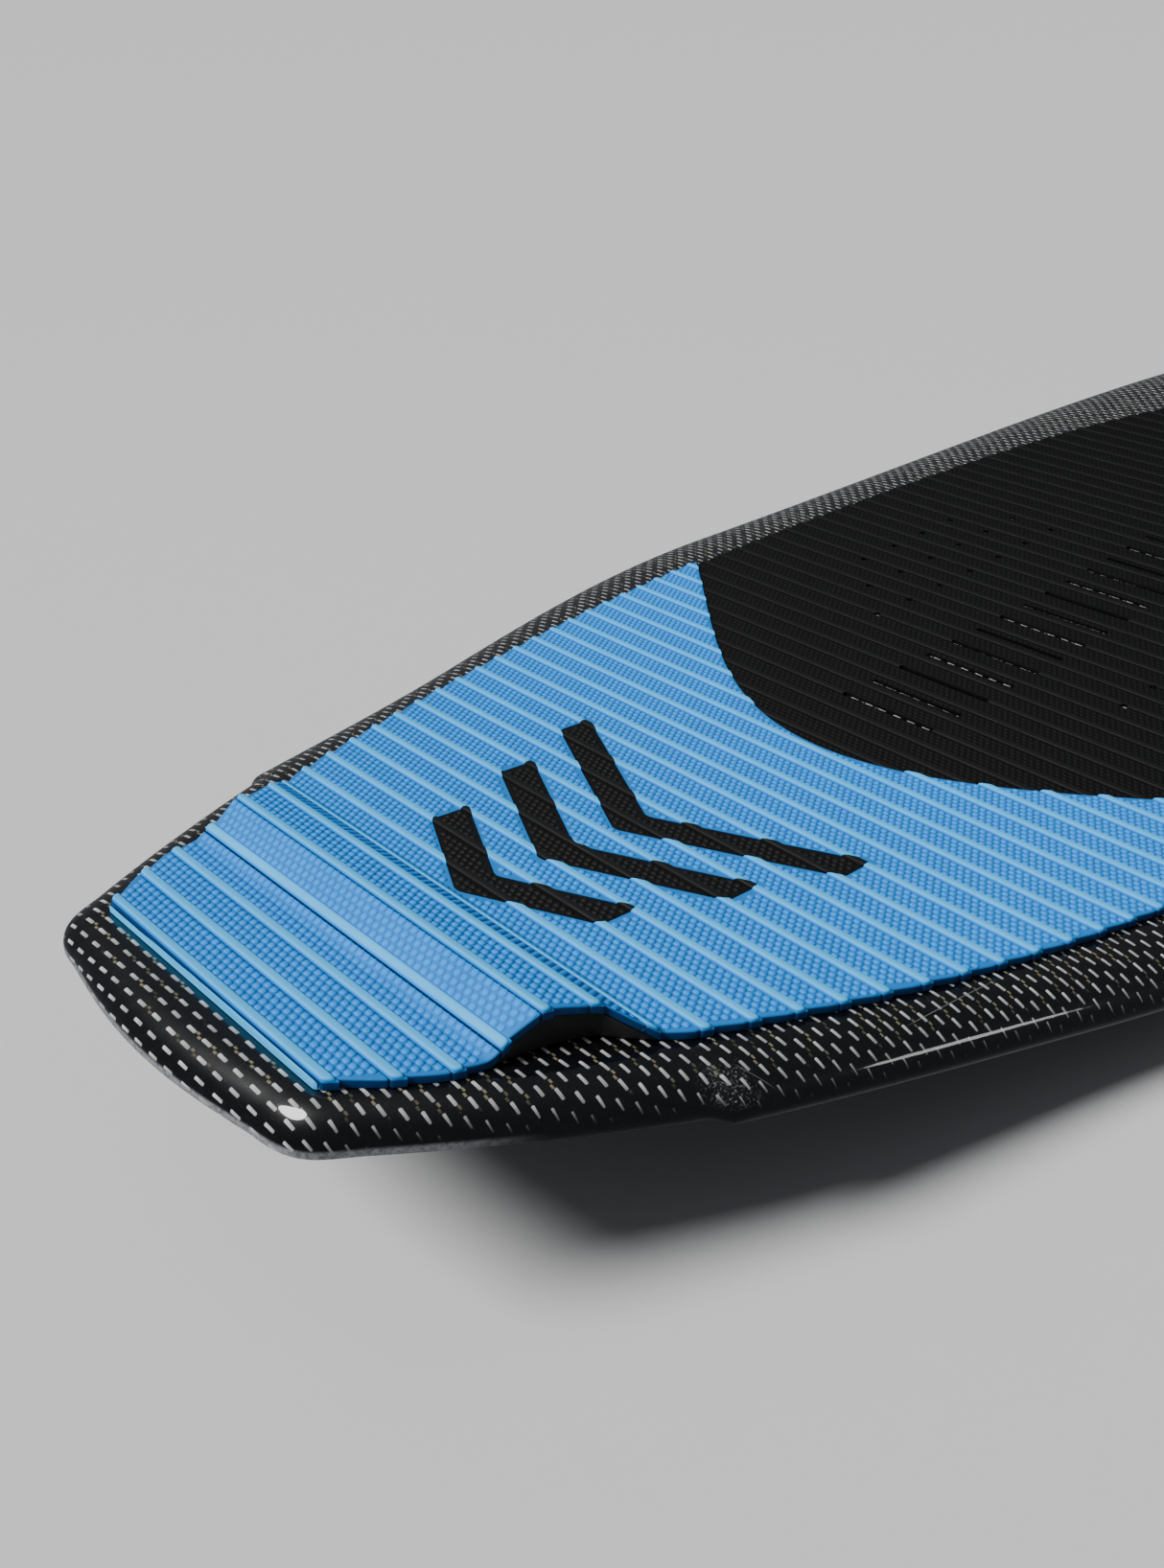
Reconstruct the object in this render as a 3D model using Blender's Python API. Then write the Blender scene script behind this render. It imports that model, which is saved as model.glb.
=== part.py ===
"""A surf-style kiteboard: carbon skins over a foam core, EVA deck pads with a kick, and three small fins.

The board is designed in its own frame, lying level: +X runs to the nose, +Y to the left rail, +Z up. A place
along the board is given by its distance from the tail. The whole board then hangs on one empty, the stance,
which pitches it nose down the way it rests on level ground, on its two side fins and its belly.
"""

import math

import bmesh
import bpy
from mathutils import Matrix, Vector
from mathutils.geometry import interpolate_bezier

# Driving dimensions, in metres
LENGTH = 1.420
SKIN = 0.0012              # laminate thickness
GAP = 0.0003               # between pieces that touch
PAD = 0.005                # height of the tail pad and inlays, ribs included
FRONT_PAD = 0.0021         # the same for the thinner front pad

# Plan outline of one half: Bezier spans of (distance from the tail, half-width) and their number of steps
OUTLINE = (
    ((0.000, 0.0000), (0.000, 0.0220), (0.0035, 0.0400), (0.007, 0.0580), 4),
    ((0.007, 0.0580), (0.0085, 0.0780), (0.016, 0.0795), (0.030, 0.0870), 6),
    ((0.030, 0.0870), (0.062, 0.1060), (0.103, 0.1265), (0.136, 0.1415), 5),
    ((0.136, 0.1415), (0.138, 0.1424), (0.140, 0.1434), (0.142, 0.1443), 2),
    ((0.142, 0.1443), (0.292, 0.1970), (0.440, 0.2635), (0.590, 0.2635), 11),
    ((0.590, 0.2635), (1.020, 0.2635), (1.420, 0.1950), (1.420, 0.0000), 18),
)
WING_START, WING_FULL, WING_END, WING_STEP = 0.136, 0.142, 0.300, 0.0045

# Deck line over the pads: a flat spot, then a curve up to the nose and a softer one to the tail
FLAT_SPOT = 0.282
NOSE_RISE, NOSE_EASE = 0.1514, 0.300
TAIL_RISE, TAIL_EASE = 0.270, 4.32

# Thickness at the tail, at its fullest and at the nose
THICK_TAIL, THICK_MID, THICK_NOSE, THICKEST_AT = 0.0135, 0.0240, 0.0095, 0.650

# Rails: width of the roll-over, height of the upright band under it, and how far it tucks in below
ROLL_TAIL, ROLL_MID, ROLL_FULL_AT = 0.016, 0.041, 0.600
BAND_TAIL, BAND_MID = 0.12, 0.34
TUCK_MID = 0.006
ROLL_STEPS = 5

# Pad outline of one half, from the tail strip to the front end
PAD_OUTLINE = (
    ((0.0258, 0.0645), (0.0264, 0.0660), (0.0272, 0.0668), (0.0285, 0.0676), 2),
    ((0.0285, 0.0676), (0.0420, 0.0765), (0.0600, 0.0895), (0.0778, 0.0910), 5),
    ((0.0778, 0.0910), (0.0900, 0.0921), (0.1050, 0.0925), (0.1212, 0.1005), 5),
    ((0.1212, 0.1005), (0.1290, 0.1085), (0.1350, 0.1160), (0.1526, 0.1230), 5),
    ((0.1526, 0.1230), (0.3070, 0.1840), (0.4650, 0.2170), (0.6200, 0.2170), 14),
    ((0.6200, 0.2170), (0.8800, 0.2170), (1.1700, 0.1650), (1.1850, 0.0300), 16),
)
SEAM_AT, SEAM_BOW, SEAM_EASE = 0.3795, 5.23, 12.35    # curved joint between the blue and the black sheet
SEAM_HALF, SEAM_REACH, SEAM_STEPS = 0.240, (0.37, 0.62), 24

# Kick: (distance from the tail, height over the deck) of its profile
KICK = ((0.0778, 0.0), (0.0985, 0.0130), (0.1212, 0.0107), (0.1378, 0.0))
WEDGE_EDGE = 0.0008        # thinnest edge of the wedge
WEDGE_INSET = 0.0010       # the blue sheet stands out past the wedge's ends by this much

# Inlays: nested chevrons that point to the tail
INLAY_TIPS = (0.140, 0.186, 0.232)
INLAY_ARM, INLAY_STROKE, INLAY_HALF = 0.052, 0.021, (0.052, 0.070, 0.088)

# Fins and their boxes
FIN_SPOTS = {"left": (0.282, 0.112), "right": (0.282, -0.112), "centre": (0.125, 0.0)}
TOE_IN = math.radians(2.5)
CANT = math.radians(4.0)
FIN_CHORD, FIN_DEPTH, CENTRE_DEPTH = 0.084, 0.046, 0.042
FIN_THICK, FIN_TAPER, FIN_EDGE = 0.0064, 0.62, 0.35      # root, loss to the tip, share at the trailing edge
LEAD_RAKE, LEAD_CURL, TRAIL_RAKE = 0.30, 0.52, 0.16      # how far the blade's edges swing back, in chords
TAB_LENGTH, TAB_THICK, TAB_HEIGHT, TAB_ROUND = 0.064, 0.005, 0.0090, 0.002
BOX_LENGTH, BOX_WIDTH, BOX_DEPTH, BOX_ROUND = 0.080, 0.023, 0.0112, 0.006
INSERT_LENGTH, INSERT_WIDTH, INSERT_ROUND = 0.108, 0.046, 0.012
SCREW_RADIUS, SCREW_LENGTH, SCREW_AT = 0.0020, 0.0045, (0.020, 0.0072)
SCREW_TILT, SCREW_SUNK, SCREW_RELIEF = math.radians(30), 0.0008, 0.0012
HEX_RADIUS, HEX_DEPTH = 0.00115, 0.0022

# Pressure vent on the deck, ahead of the pads
VENT_AT = 1.275
VENT_RADIUS, VENT_DEPTH, VENT_WELL, VENT_WELL_DEPTH = 0.0095, 0.0074, 0.0070, 0.0030
VENT_BORE, VENT_BORE_DEPTH, VENT_SHAFT, VENT_HEAD = 0.0036, 0.0064, 0.0032, 0.0064
VENT_HEAD_HEIGHT, RING_MAJOR, RING_MINOR = 0.0018, 0.0046, 0.0005
COIN_SLOT = (0.0100, 0.0014, 0.0009)      # length, width and depth of the slot in the screw's head

# Reach of the cutters: past the surface they open, and through the whole board
PAST = 0.004
THROUGH = (-0.1, 0.3)

# Stance on level ground
NOSE_DOWN = math.radians(8.0924)
STANCE_SHIFT = (-0.00887, 0.0, 0.00603)

COLOURS = {
    "carbon": ((0.012, 0.012, 0.014), 0.12, 0.0),
    "foam": ((0.86, 0.87, 0.84), 0.85, 0.0),
    "dense_foam": ((0.80, 0.66, 0.38), 0.8, 0.0),
    "blue_eva": ((0.10, 0.38, 0.80), 0.75, 0.0),
    "black_eva": ((0.012, 0.012, 0.013), 0.8, 0.0),
    "box_plastic": ((0.02, 0.02, 0.022), 0.45, 0.0),
    "fin_glass": ((0.015, 0.016, 0.018), 0.25, 0.0),
    "steel": ((0.60, 0.60, 0.61), 0.3, 1.0),
    "rubber": ((0.015, 0.015, 0.015), 0.7, 0.0),
}


# ---------------------------------------------------------------- scene helpers

def clear_scene():
    for o in list(bpy.data.objects):
        bpy.data.objects.remove(o)


def material(name):
    found = bpy.data.materials.get(name)
    if found:
        return found
    colour, roughness, metallic = COLOURS[name]
    m = bpy.data.materials.new(name)
    m.use_nodes = True
    shader = m.node_tree.nodes["Principled BSDF"]
    shader.inputs["Base Color"].default_value = (*colour, 1)
    shader.inputs["Roughness"].default_value = roughness
    shader.inputs["Metallic"].default_value = metallic
    return m


def collection(name):
    c = bpy.data.collections.new(name)
    bpy.context.scene.collection.children.link(c)
    return c


def add(name, mesh, parent, colour=None, folder=None):
    o = bpy.data.objects.new(name, mesh)
    (folder or BOARD).objects.link(o)
    o.parent = parent
    if colour:
        mesh.materials.append(material(colour))
    return o


def empty(name, parent, location=(0, 0, 0), rotation=(0, 0, 0)):
    e = bpy.data.objects.new(name, None)
    BOARD.objects.link(e)
    e.parent = parent
    e.location = location
    e.rotation_euler = rotation
    return e


def cutter(name, mesh, parent):
    o = add(name, mesh, parent, folder=CUTTERS)
    o.hide_render = True
    o.display_type = "WIRE"
    return o


def boolean(target, tool, operation):
    m = target.modifiers.new(f"{operation.lower()}_{tool.name}", "BOOLEAN")
    m.operation = operation
    m.solver = "EXACT"
    m.object = tool


def smooth(mesh, degrees=30):
    mesh.shade_smooth()
    mesh.set_sharp_from_angle(angle=math.radians(degrees))


def finished(bm, name):
    bmesh.ops.recalc_face_normals(bm, faces=bm.faces)
    mesh = bpy.data.meshes.new(name)
    bm.to_mesh(mesh)
    bm.free()
    return mesh


def prism(name, outline, low, high):
    """A vertical block over a plan outline of (x, y) points."""
    bm = bmesh.new()
    face = bm.faces.new([bm.verts.new((x, y, low)) for x, y in outline])
    top = bmesh.ops.extrude_face_region(bm, geom=[face])
    rise = [v for v in top["geom"] if isinstance(v, bmesh.types.BMVert)]
    bmesh.ops.translate(bm, verts=rise, vec=(0, 0, high - low))
    return finished(bm, name)


def rounded_box(length, width, radius, grow=0.0, steps=4):
    """Plan outline of a rectangle with round corners, centred on the origin."""
    points = []
    for quarter, (sx, sy) in enumerate(((1, 1), (-1, 1), (-1, -1), (1, -1))):
        cx, cy = sx * (length / 2 - radius), sy * (width / 2 - radius)
        for step in range(steps + 1):
            a = math.pi / 2 * (quarter + step / steps)
            points.append((cx + (radius + grow) * math.cos(a), cy + (radius + grow) * math.sin(a)))
    return points


def cylinder(name, radius, low, high, sides=24):
    bm = bmesh.new()
    place = Matrix.Translation((0, 0, (low + high) / 2))
    bmesh.ops.create_cone(bm, cap_ends=True, segments=sides, radius1=radius, radius2=radius,
                          depth=high - low, matrix=place)
    return finished(bm, name)


def torus(name, major, minor, height, around=24, sides=8):
    bm = bmesh.new()
    rings = []
    for i in range(around):
        a = 2 * math.pi * i / around
        ring = []
        for j in range(sides):
            b = 2 * math.pi * j / sides
            r = major + minor * math.cos(b)
            ring.append(bm.verts.new((r * math.cos(a), r * math.sin(a), height + minor * math.sin(b))))
        rings.append(ring)
    for i in range(around):
        a, b = rings[i], rings[(i + 1) % around]
        for j in range(sides):
            k = (j + 1) % sides
            bm.faces.new([a[j], a[k], b[k], b[j]])
    return finished(bm, name)


# ---------------------------------------------------------------- shape of the board

def blend(t):
    t = min(1.0, max(0.0, t))
    return t * t * (3 - 2 * t)


def x_at(tail):
    return tail - LENGTH / 2


def pad_top(tail):
    """Height of the pads' top over the level datum."""
    run = tail - FLAT_SPOT
    if run > 0:
        return NOSE_RISE * run * run / (1 + NOSE_EASE * run)
    return TAIL_RISE * run * run / (1 - TAIL_EASE * run)


def deck(tail):
    return pad_top(tail) - PAD


def thickness(tail):
    if tail < THICKEST_AT:
        return THICK_TAIL + (THICK_MID - THICK_TAIL) * math.sin(math.pi / 2 * tail / THICKEST_AT)
    ahead = (tail - THICKEST_AT) / (LENGTH - THICKEST_AT)
    return THICK_NOSE + (THICK_MID - THICK_NOSE) * (1 - ahead * ahead)


def bottom(tail):
    return deck(tail) - thickness(tail)


def slope(line, tail, step=0.002):
    return (line(tail + step) - line(tail - step)) / (2 * step)


def kick_lift(tail):
    for (a, low), (b, high) in zip(KICK, KICK[1:]):
        if a <= tail <= b:
            return low + (high - low) * (tail - a) / (b - a)
    return 0.0


def spans(parts):
    """Points along Bezier spans, ends shared."""
    points = [Vector(parts[0][0])]
    for start, h1, h2, end, steps in parts:
        flat = [Vector((*p, 0)) for p in (start, h1, h2, end)]
        points += [p.xy for p in interpolate_bezier(*flat, steps + 1)[1:]]
    return points


def inward(points):
    """Unit normals of a half outline that point into the board."""
    normals = []
    last = len(points) - 1
    for i, p in enumerate(points):
        if i == 0:
            along = Vector((0, 1))
        elif i == last:
            along = Vector((0, -1))
        else:
            along = points[i + 1] - points[i - 1]
        normals.append(Vector((along.y, -along.x)).normalized())
    return normals


def wing(tail):
    if tail < WING_FULL:
        return WING_STEP * blend((tail - WING_START) / (WING_FULL - WING_START))
    return WING_STEP * (1 - blend((tail - WING_FULL) / (WING_END - WING_FULL)))


def hull_rows(inset, tail_points, normals):
    """Rows of half-board points, from the rail's bottom edge in to the flat deck, for a body that lies
    a given depth inside the board's skin. Each row starts with the point on the bottom face."""
    rows = []
    for p, n in zip(tail_points, normals):
        full = blend(p.x / ROLL_FULL_AT)
        roll = ROLL_TAIL + (ROLL_MID - ROLL_TAIL) * full - inset
        share = BAND_TAIL + (BAND_MID - BAND_TAIL) * full
        tuck = TUCK_MID * full
        edge = p + n * inset
        foot = edge + n * tuck + Vector((0, wing(p.x)))
        row = [Vector((x_at(foot.x), foot.y, bottom(foot.x) + inset))]
        for step in range(ROLL_STEPS + 1):
            a = math.pi / 2 * (1 - step / ROLL_STEPS)
            into = 1 - math.sin(a)
            q = edge + n * roll * into + Vector((0, wing(p.x) * (1 - into) ** 2))
            drop = (thickness(q.x) * (1 - share) - inset) * (1 - math.cos(a))
            row.append(Vector((x_at(q.x), q.y, deck(q.x) - inset - drop)))
        rows.append(row)
    for row in (rows[0], rows[-1]):
        for q in row:
            q.y = 0.0
    return rows


def both_sides(bm, rows):
    """Vertices of the right and left rows; the two end rows lie on the centreline and are shared."""
    left = [[bm.verts.new(q) for q in row] for row in rows]
    right = [[bm.verts.new((q.x, -q.y, q.z)) for q in row] for row in rows[1:-1]]
    return left, [left[0], *right, left[-1]]


def strips(bm, rows):
    """Faces between neighbouring rows, and across a shared end row."""
    for a, b in zip(rows, rows[1:]):
        for i in range(len(a) - 1):
            ring = [a[i], a[i + 1], b[i + 1], b[i]]
            ring = [v for k, v in enumerate(ring) if v is not ring[k - 1]]
            if len(ring) > 2:
                bm.faces.new(ring)


def across(bm, left, right, column):
    """Faces over the board's middle, from the left row's point to the right row's."""
    for i in range(len(left) - 1):
        ring = [left[i][column], left[i + 1][column], right[i + 1][column], right[i][column]]
        ring = [v for k, v in enumerate(ring) if v is not ring[k - 1]]
        if len(ring) > 2:
            bm.faces.new(ring)


def solid_hull(name, inset, outline, normals):
    """The board's form a given depth under its skin, closed."""
    bm = bmesh.new()
    left, right = both_sides(bm, hull_rows(inset, outline, normals))
    strips(bm, left)
    strips(bm, right)
    across(bm, left, right, -1)
    across(bm, left, right, 0)
    return finished(bm, name)


def deck_shell(name, outline, normals):
    """Deck skin and rails, open at the bottom, as one sheet of the laminate's thickness."""
    bm = bmesh.new()
    sheets = []
    for inset in (0.0, SKIN):
        rows = hull_rows(inset, outline, normals)
        for row in rows:
            foot, apex = row[0], row[1]
            lift = SKIN + GAP - inset
            t = lift / max(apex.z - foot.z, 1e-6)
            row[0] = foot.lerp(apex, min(0.9, t))
        left, right = both_sides(bm, rows)
        strips(bm, left)
        strips(bm, right)
        across(bm, left, right, -1)
        sheets.append((left, right))
    (outer_left, outer_right), (inner_left, inner_right) = sheets
    for outer, inner in ((outer_left, inner_left), (outer_right, inner_right)):
        for i in range(len(outer) - 1):
            bm.faces.new([outer[i][0], outer[i + 1][0], inner[i + 1][0], inner[i][0]])
    return finished(bm, name)


def bottom_sheet(name, outline, normals):
    """Bottom skin: a curved sheet inside the bottom edge."""
    bm = bmesh.new()
    rows = []
    for foot, *_ in hull_rows(0.0, outline, normals):
        rows.append([foot, foot + Vector((0, 0, SKIN))])
    left, right = both_sides(bm, rows)
    strips(bm, left)
    strips(bm, right)
    across(bm, left, right, 0)
    across(bm, left, right, 1)
    return finished(bm, name)


def slab(name, points, low, high):
    """A sheet that follows the deck between two height functions, over a half outline mirrored."""
    bm = bmesh.new()
    rows = []
    for p in points:
        x = x_at(p.x)
        rows.append([Vector((x, p.y, low(p.x))), Vector((x, p.y, high(p.x)))])
    left = [[bm.verts.new(q) for q in row] for row in rows]
    right = [[bm.verts.new((q.x, -q.y, q.z)) for q in row] for row in rows]
    strips(bm, left)
    strips(bm, right)
    across(bm, left, right, 0)
    across(bm, left, right, 1)
    for end in (0, -1):
        a, b = left[end], right[end]
        bm.faces.new([a[0], a[1], b[1], b[0]])
    return finished(bm, name)


# ---------------------------------------------------------------- sub-parts

def seam(half):
    """Distance from the tail of the blue sheet's curved front edge, at a distance from the centreline."""
    return SEAM_AT + SEAM_BOW * half * half / (1 + SEAM_EASE * half * half)


def seam_block(name, parent, grow):
    """Everything ahead of the curved joint, as a cutter."""
    edge = []
    for i in range(SEAM_STEPS + 1):
        y = SEAM_HALF * (2 * i / SEAM_STEPS - 1)
        edge.append((x_at(seam(abs(y)) - grow), y))
    front = x_at(LENGTH)
    edge += [(front, SEAM_HALF), (front, -SEAM_HALF)]
    return cutter(name, prism(name, edge, *THROUGH), parent)


def chevron(tip, half, grow):
    """Plan outline of a chevron that points to the tail."""
    run = INLAY_ARM * half / INLAY_HALF[-1]
    x, g = x_at(tip), grow
    return [
        (x - g, 0), (x + run - g, half + g), (x + run + INLAY_STROKE + g, half + g), (x + INLAY_STROKE + g, 0),
        (x + run + INLAY_STROKE + g, -half - g), (x + run - g, -half - g),
    ]


def pad_points(start, end):
    """Half outline of the pads between two places, with a point at each fold of the kick."""
    points = [p for p in spans(PAD_OUTLINE) if start <= p.x <= end]
    for fold, _ in KICK:
        if start < fold < end:
            after = next(i for i, p in enumerate(points) if p.x > fold)
            a, b = points[after - 1], points[after]
            if fold - a.x > 1e-6:
                points.insert(after, a.lerp(b, (fold - a.x) / (b.x - a.x)))
    return points


def make_pads(board):
    def under(t):
        return deck(t) + kick_lift(t) + GAP

    def over(t):
        return pad_top(t) + kick_lift(t)

    def over_front(t):
        return deck(t) + FRONT_PAD

    blank = pad_points(0.0, SEAM_REACH[1])
    tail_pad = add("tail_pad", slab("tail_pad", blank, under, over), board, "blue_eva")
    boolean(tail_pad, seam_block("seam_cut", board, GAP), "DIFFERENCE")
    ahead = pad_points(SEAM_REACH[0], LENGTH)
    front = add("front_pad", slab("front_pad", ahead, under, over_front), board, "black_eva")
    boolean(front, seam_block("seam_keep", board, 0.0), "INTERSECT")
    for i, (tip, half) in enumerate(zip(INLAY_TIPS, INLAY_HALF), 1):
        hole = cutter(f"inlay_pocket_{i}", prism(f"inlay_pocket_{i}", chevron(tip, half, GAP), *THROUGH), board)
        boolean(tail_pad, hole, "DIFFERENCE")
        inlay = add(f"inlay_{i}", slab(f"inlay_{i}", blank, under, over), board, "black_eva")
        shape = cutter(f"inlay_shape_{i}", prism(f"inlay_shape_{i}", chevron(tip, half, 0.0), *THROUGH), board)
        boolean(inlay, shape, "INTERSECT")


def make_kick_wedge(board):
    ends = []
    for (a, low), (b, high) in (KICK[:2], KICK[:-3:-1]):
        ends.append(a + (b - a) * WEDGE_EDGE / (high - low))
    points = pad_points(*ends)
    first, last = (Vector((t, p.y)) for t, p in zip(ends, (points[0], points[-1])))
    points = [first, *points, last]
    inset = [Vector((p.x, p.y - WEDGE_INSET)) for p in points]
    mesh = slab("kick_wedge", inset, lambda t: deck(t) + GAP, lambda t: deck(t) + kick_lift(t))
    add("kick_wedge", mesh, board, "black_eva")


def make_shell(board, outline, normals):
    top = add("deck_laminate", deck_shell("deck_laminate", outline, normals), board, "carbon")
    base = add("bottom_laminate", bottom_sheet("bottom_laminate", outline, normals), board, "carbon")
    core = add("foam_core", solid_hull("foam_core", SKIN + GAP, outline, normals), board, "foam")
    return top, base, core


def fin_frame(side, board):
    """An empty on the bottom face: +X forward along the fin, +Z into the board."""
    tail, y = FIN_SPOTS[side]
    toe = 0.0 if side == "centre" else -math.copysign(TOE_IN, y)
    pitch = -math.atan(slope(bottom, tail))
    return empty(f"fin_frame_{side}", board, (x_at(tail), y, bottom(tail)), (0, pitch, toe))


def fin_blade(name, depth, lean):
    """Foiled blade: sections that get shorter and swing back towards the tip, and a round tip."""
    levels, around = 9, 12
    bm = bmesh.new()
    rings = []
    for level in range(levels):
        h = level / (levels - 1)
        lead = FIN_CHORD / 2 - FIN_CHORD * (LEAD_RAKE * h + LEAD_CURL * h ** 3)
        trail = -FIN_CHORD / 2 - FIN_CHORD * TRAIL_RAKE * h ** 2
        chord = lead - trail
        thick = FIN_THICK * (1 - FIN_TAPER * h)
        ring = []
        for i in range(around):
            a = 2 * math.pi * i / around
            along = (1 + math.cos(a)) / 2
            fat = thick / 2 * math.sin(a) * (FIN_EDGE + (1 - FIN_EDGE) * math.sqrt(along))
            y = fat + math.tan(lean) * depth * h
            ring.append(bm.verts.new((trail + chord * along, y, -GAP - depth * h)))
        rings.append(ring)
    for a, b in zip(rings, rings[1:]):
        for i in range(around):
            j = (i + 1) % around
            bm.faces.new([a[i], a[j], b[j], b[i]])
    bm.faces.new(rings[0])
    bm.faces.new(rings[-1])
    return finished(bm, name)


def make_fin(side, frame, board):
    depth = CENTRE_DEPTH if side == "centre" else FIN_DEPTH
    lean = {"left": CANT, "right": -CANT, "centre": 0.0}[side]
    fin = add(f"fin_{side}", fin_blade(f"fin_{side}", depth, lean), frame, "fin_glass")
    tab_outline = rounded_box(TAB_LENGTH, TAB_THICK, TAB_ROUND)
    tab = cutter(f"tab_{side}", prism(f"tab_{side}", tab_outline, -PAST / 2, TAB_HEIGHT), frame)
    boolean(fin, tab, "UNION")
    return fin


def screw_frames(side, frame):
    """One empty for each grub screw: +Z runs down its axis into the box and towards the slot."""
    found = []
    for place, sign in (("front", 1), ("rear", -1)):
        x, y = SCREW_AT
        lean = (SCREW_TILT, 0, 0)
        found.append((place, empty(f"screw_frame_{side}_{place}", frame, (sign * x, y, 0), lean)))
    return found


def make_grub_screw(side, place, frame):
    name = f"grub_screw_{side}_{place}"
    low, high = SCREW_SUNK, SCREW_SUNK + SCREW_LENGTH
    screw = add(name, cylinder(name, SCREW_RADIUS, low, high), frame, "steel")
    socket = cutter(f"hex_{name}", cylinder(f"hex_{name}", HEX_RADIUS, low - PAST, low + HEX_DEPTH, 6), frame)
    boolean(screw, socket, "DIFFERENCE")


def make_fin_system(side, board, base, core):
    frame = fin_frame(side, board)
    box_outline = rounded_box(BOX_LENGTH, BOX_WIDTH, BOX_ROUND)
    box = add(f"fin_box_{side}", prism(f"fin_box_{side}", box_outline, 0, BOX_DEPTH), frame, "box_plastic")
    slot_outline = rounded_box(TAB_LENGTH, TAB_THICK, TAB_ROUND, GAP)
    slot = cutter(f"slot_{side}", prism(f"slot_{side}", slot_outline, -PAST, TAB_HEIGHT + GAP), frame)
    boolean(box, slot, "DIFFERENCE")
    pocket_outline = rounded_box(BOX_LENGTH, BOX_WIDTH, BOX_ROUND, GAP)
    pocket_mesh = prism(f"pocket_{side}", pocket_outline, -PAST, BOX_DEPTH + GAP)
    pocket = cutter(f"pocket_{side}", pocket_mesh, frame)
    boolean(base, pocket, "DIFFERENCE")

    block_outline = rounded_box(INSERT_LENGTH, INSERT_WIDTH, INSERT_ROUND)
    block = cutter(f"block_{side}", prism(f"block_{side}", block_outline, *THROUGH), frame)
    insert = add(f"insert_{side}", core.data.copy(), board)
    insert.data.materials.clear()
    insert.data.materials.append(material("dense_foam"))
    boolean(insert, block, "INTERSECT")
    boolean(insert, pocket, "DIFFERENCE")
    room_outline = rounded_box(INSERT_LENGTH, INSERT_WIDTH, INSERT_ROUND, GAP)
    room = cutter(f"room_{side}", prism(f"room_{side}", room_outline, *THROUGH), frame)
    boolean(core, room, "DIFFERENCE")

    make_fin(side, frame, board)
    for place, axis in screw_frames(side, frame):
        hole_name = f"screw_hole_{side}_{place}"
        reach = SCREW_SUNK + SCREW_LENGTH + SCREW_RELIEF
        hole = cutter(hole_name, cylinder(hole_name, SCREW_RADIUS + GAP, -PAST, reach), axis)
        boolean(box, hole, "DIFFERENCE")
        make_grub_screw(side, place, axis)


def make_vent(board, top, core):
    """A plug body let into the deck, its screw and the ring under the screw's head."""
    pitch = -math.atan(slope(deck, VENT_AT))
    frame = empty("vent_frame", board, (x_at(VENT_AT), 0, deck(VENT_AT)), (0, pitch, 0))
    plug = add("vent_plug", cylinder("vent_plug", VENT_RADIUS, -VENT_DEPTH, 0, 32), frame, "box_plastic")
    well = cutter("vent_well", cylinder("vent_well", VENT_WELL, -VENT_WELL_DEPTH, PAST, 32), frame)
    bore = cutter("vent_bore", cylinder("vent_bore", VENT_BORE, -VENT_BORE_DEPTH, PAST, 24), frame)
    boolean(plug, well, "DIFFERENCE")
    boolean(plug, bore, "DIFFERENCE")
    room_mesh = cylinder("vent_room", VENT_RADIUS + GAP, -VENT_DEPTH - GAP, PAST, 32)
    room = cutter("vent_room", room_mesh, frame)
    boolean(top, room, "DIFFERENCE")
    boolean(core, room, "DIFFERENCE")

    seat = -VENT_WELL_DEPTH + 2 * RING_MINOR + 2 * GAP
    screw = add("vent_screw", cylinder("vent_screw", VENT_HEAD, seat, seat + VENT_HEAD_HEIGHT, 32), frame, "steel")
    shaft_mesh = cylinder("vent_shaft", VENT_SHAFT, -VENT_BORE_DEPTH + GAP, seat + VENT_HEAD_HEIGHT / 3, 24)
    boolean(screw, cutter("vent_shaft", shaft_mesh, frame), "UNION")
    slot_length, slot_width, slot_depth = COIN_SLOT
    slot_outline = rounded_box(slot_length, slot_width, slot_width / 3)
    slot_mesh = prism("vent_slot", slot_outline, seat + VENT_HEAD_HEIGHT - slot_depth, PAST)
    boolean(screw, cutter("vent_slot", slot_mesh, frame), "DIFFERENCE")
    ring_mesh = torus("vent_o_ring", RING_MAJOR, RING_MINOR, -VENT_WELL_DEPTH + GAP + RING_MINOR)
    add("vent_o_ring", ring_mesh, frame, "rubber")


# ---------------------------------------------------------------- the whole board

clear_scene()
BOARD = collection("kiteboard")
CUTTERS = collection("cutters")
stance = empty("stance", None, STANCE_SHIFT, (0, NOSE_DOWN, 0))
outline = spans(OUTLINE)
normals = inward(outline)
deck_laminate, bottom_laminate, foam_core = make_shell(stance, outline, normals)
for side in FIN_SPOTS:
    make_fin_system(side, stance, bottom_laminate, foam_core)
make_vent(stance, deck_laminate, foam_core)
make_pads(stance)
make_kick_wedge(stance)
for piece in BOARD.objects:
    if piece.type == "MESH":
        smooth(piece.data)
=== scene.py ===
"""Looks of a surf-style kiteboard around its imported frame: woven carbon shell, ribbed deck pads on a kick,
chevron inlays, fins in their boxes, and a pressure vent.

Everything is modelled in the board's own frame, lying level (+X nose, +Y left, +Z up, places along the board
given as the distance from the tail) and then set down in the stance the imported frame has.
"""

import math

import bmesh
import bpy
import numpy as np
from mathutils import Matrix, Vector
from mathutils.geometry import interpolate_bezier


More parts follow.
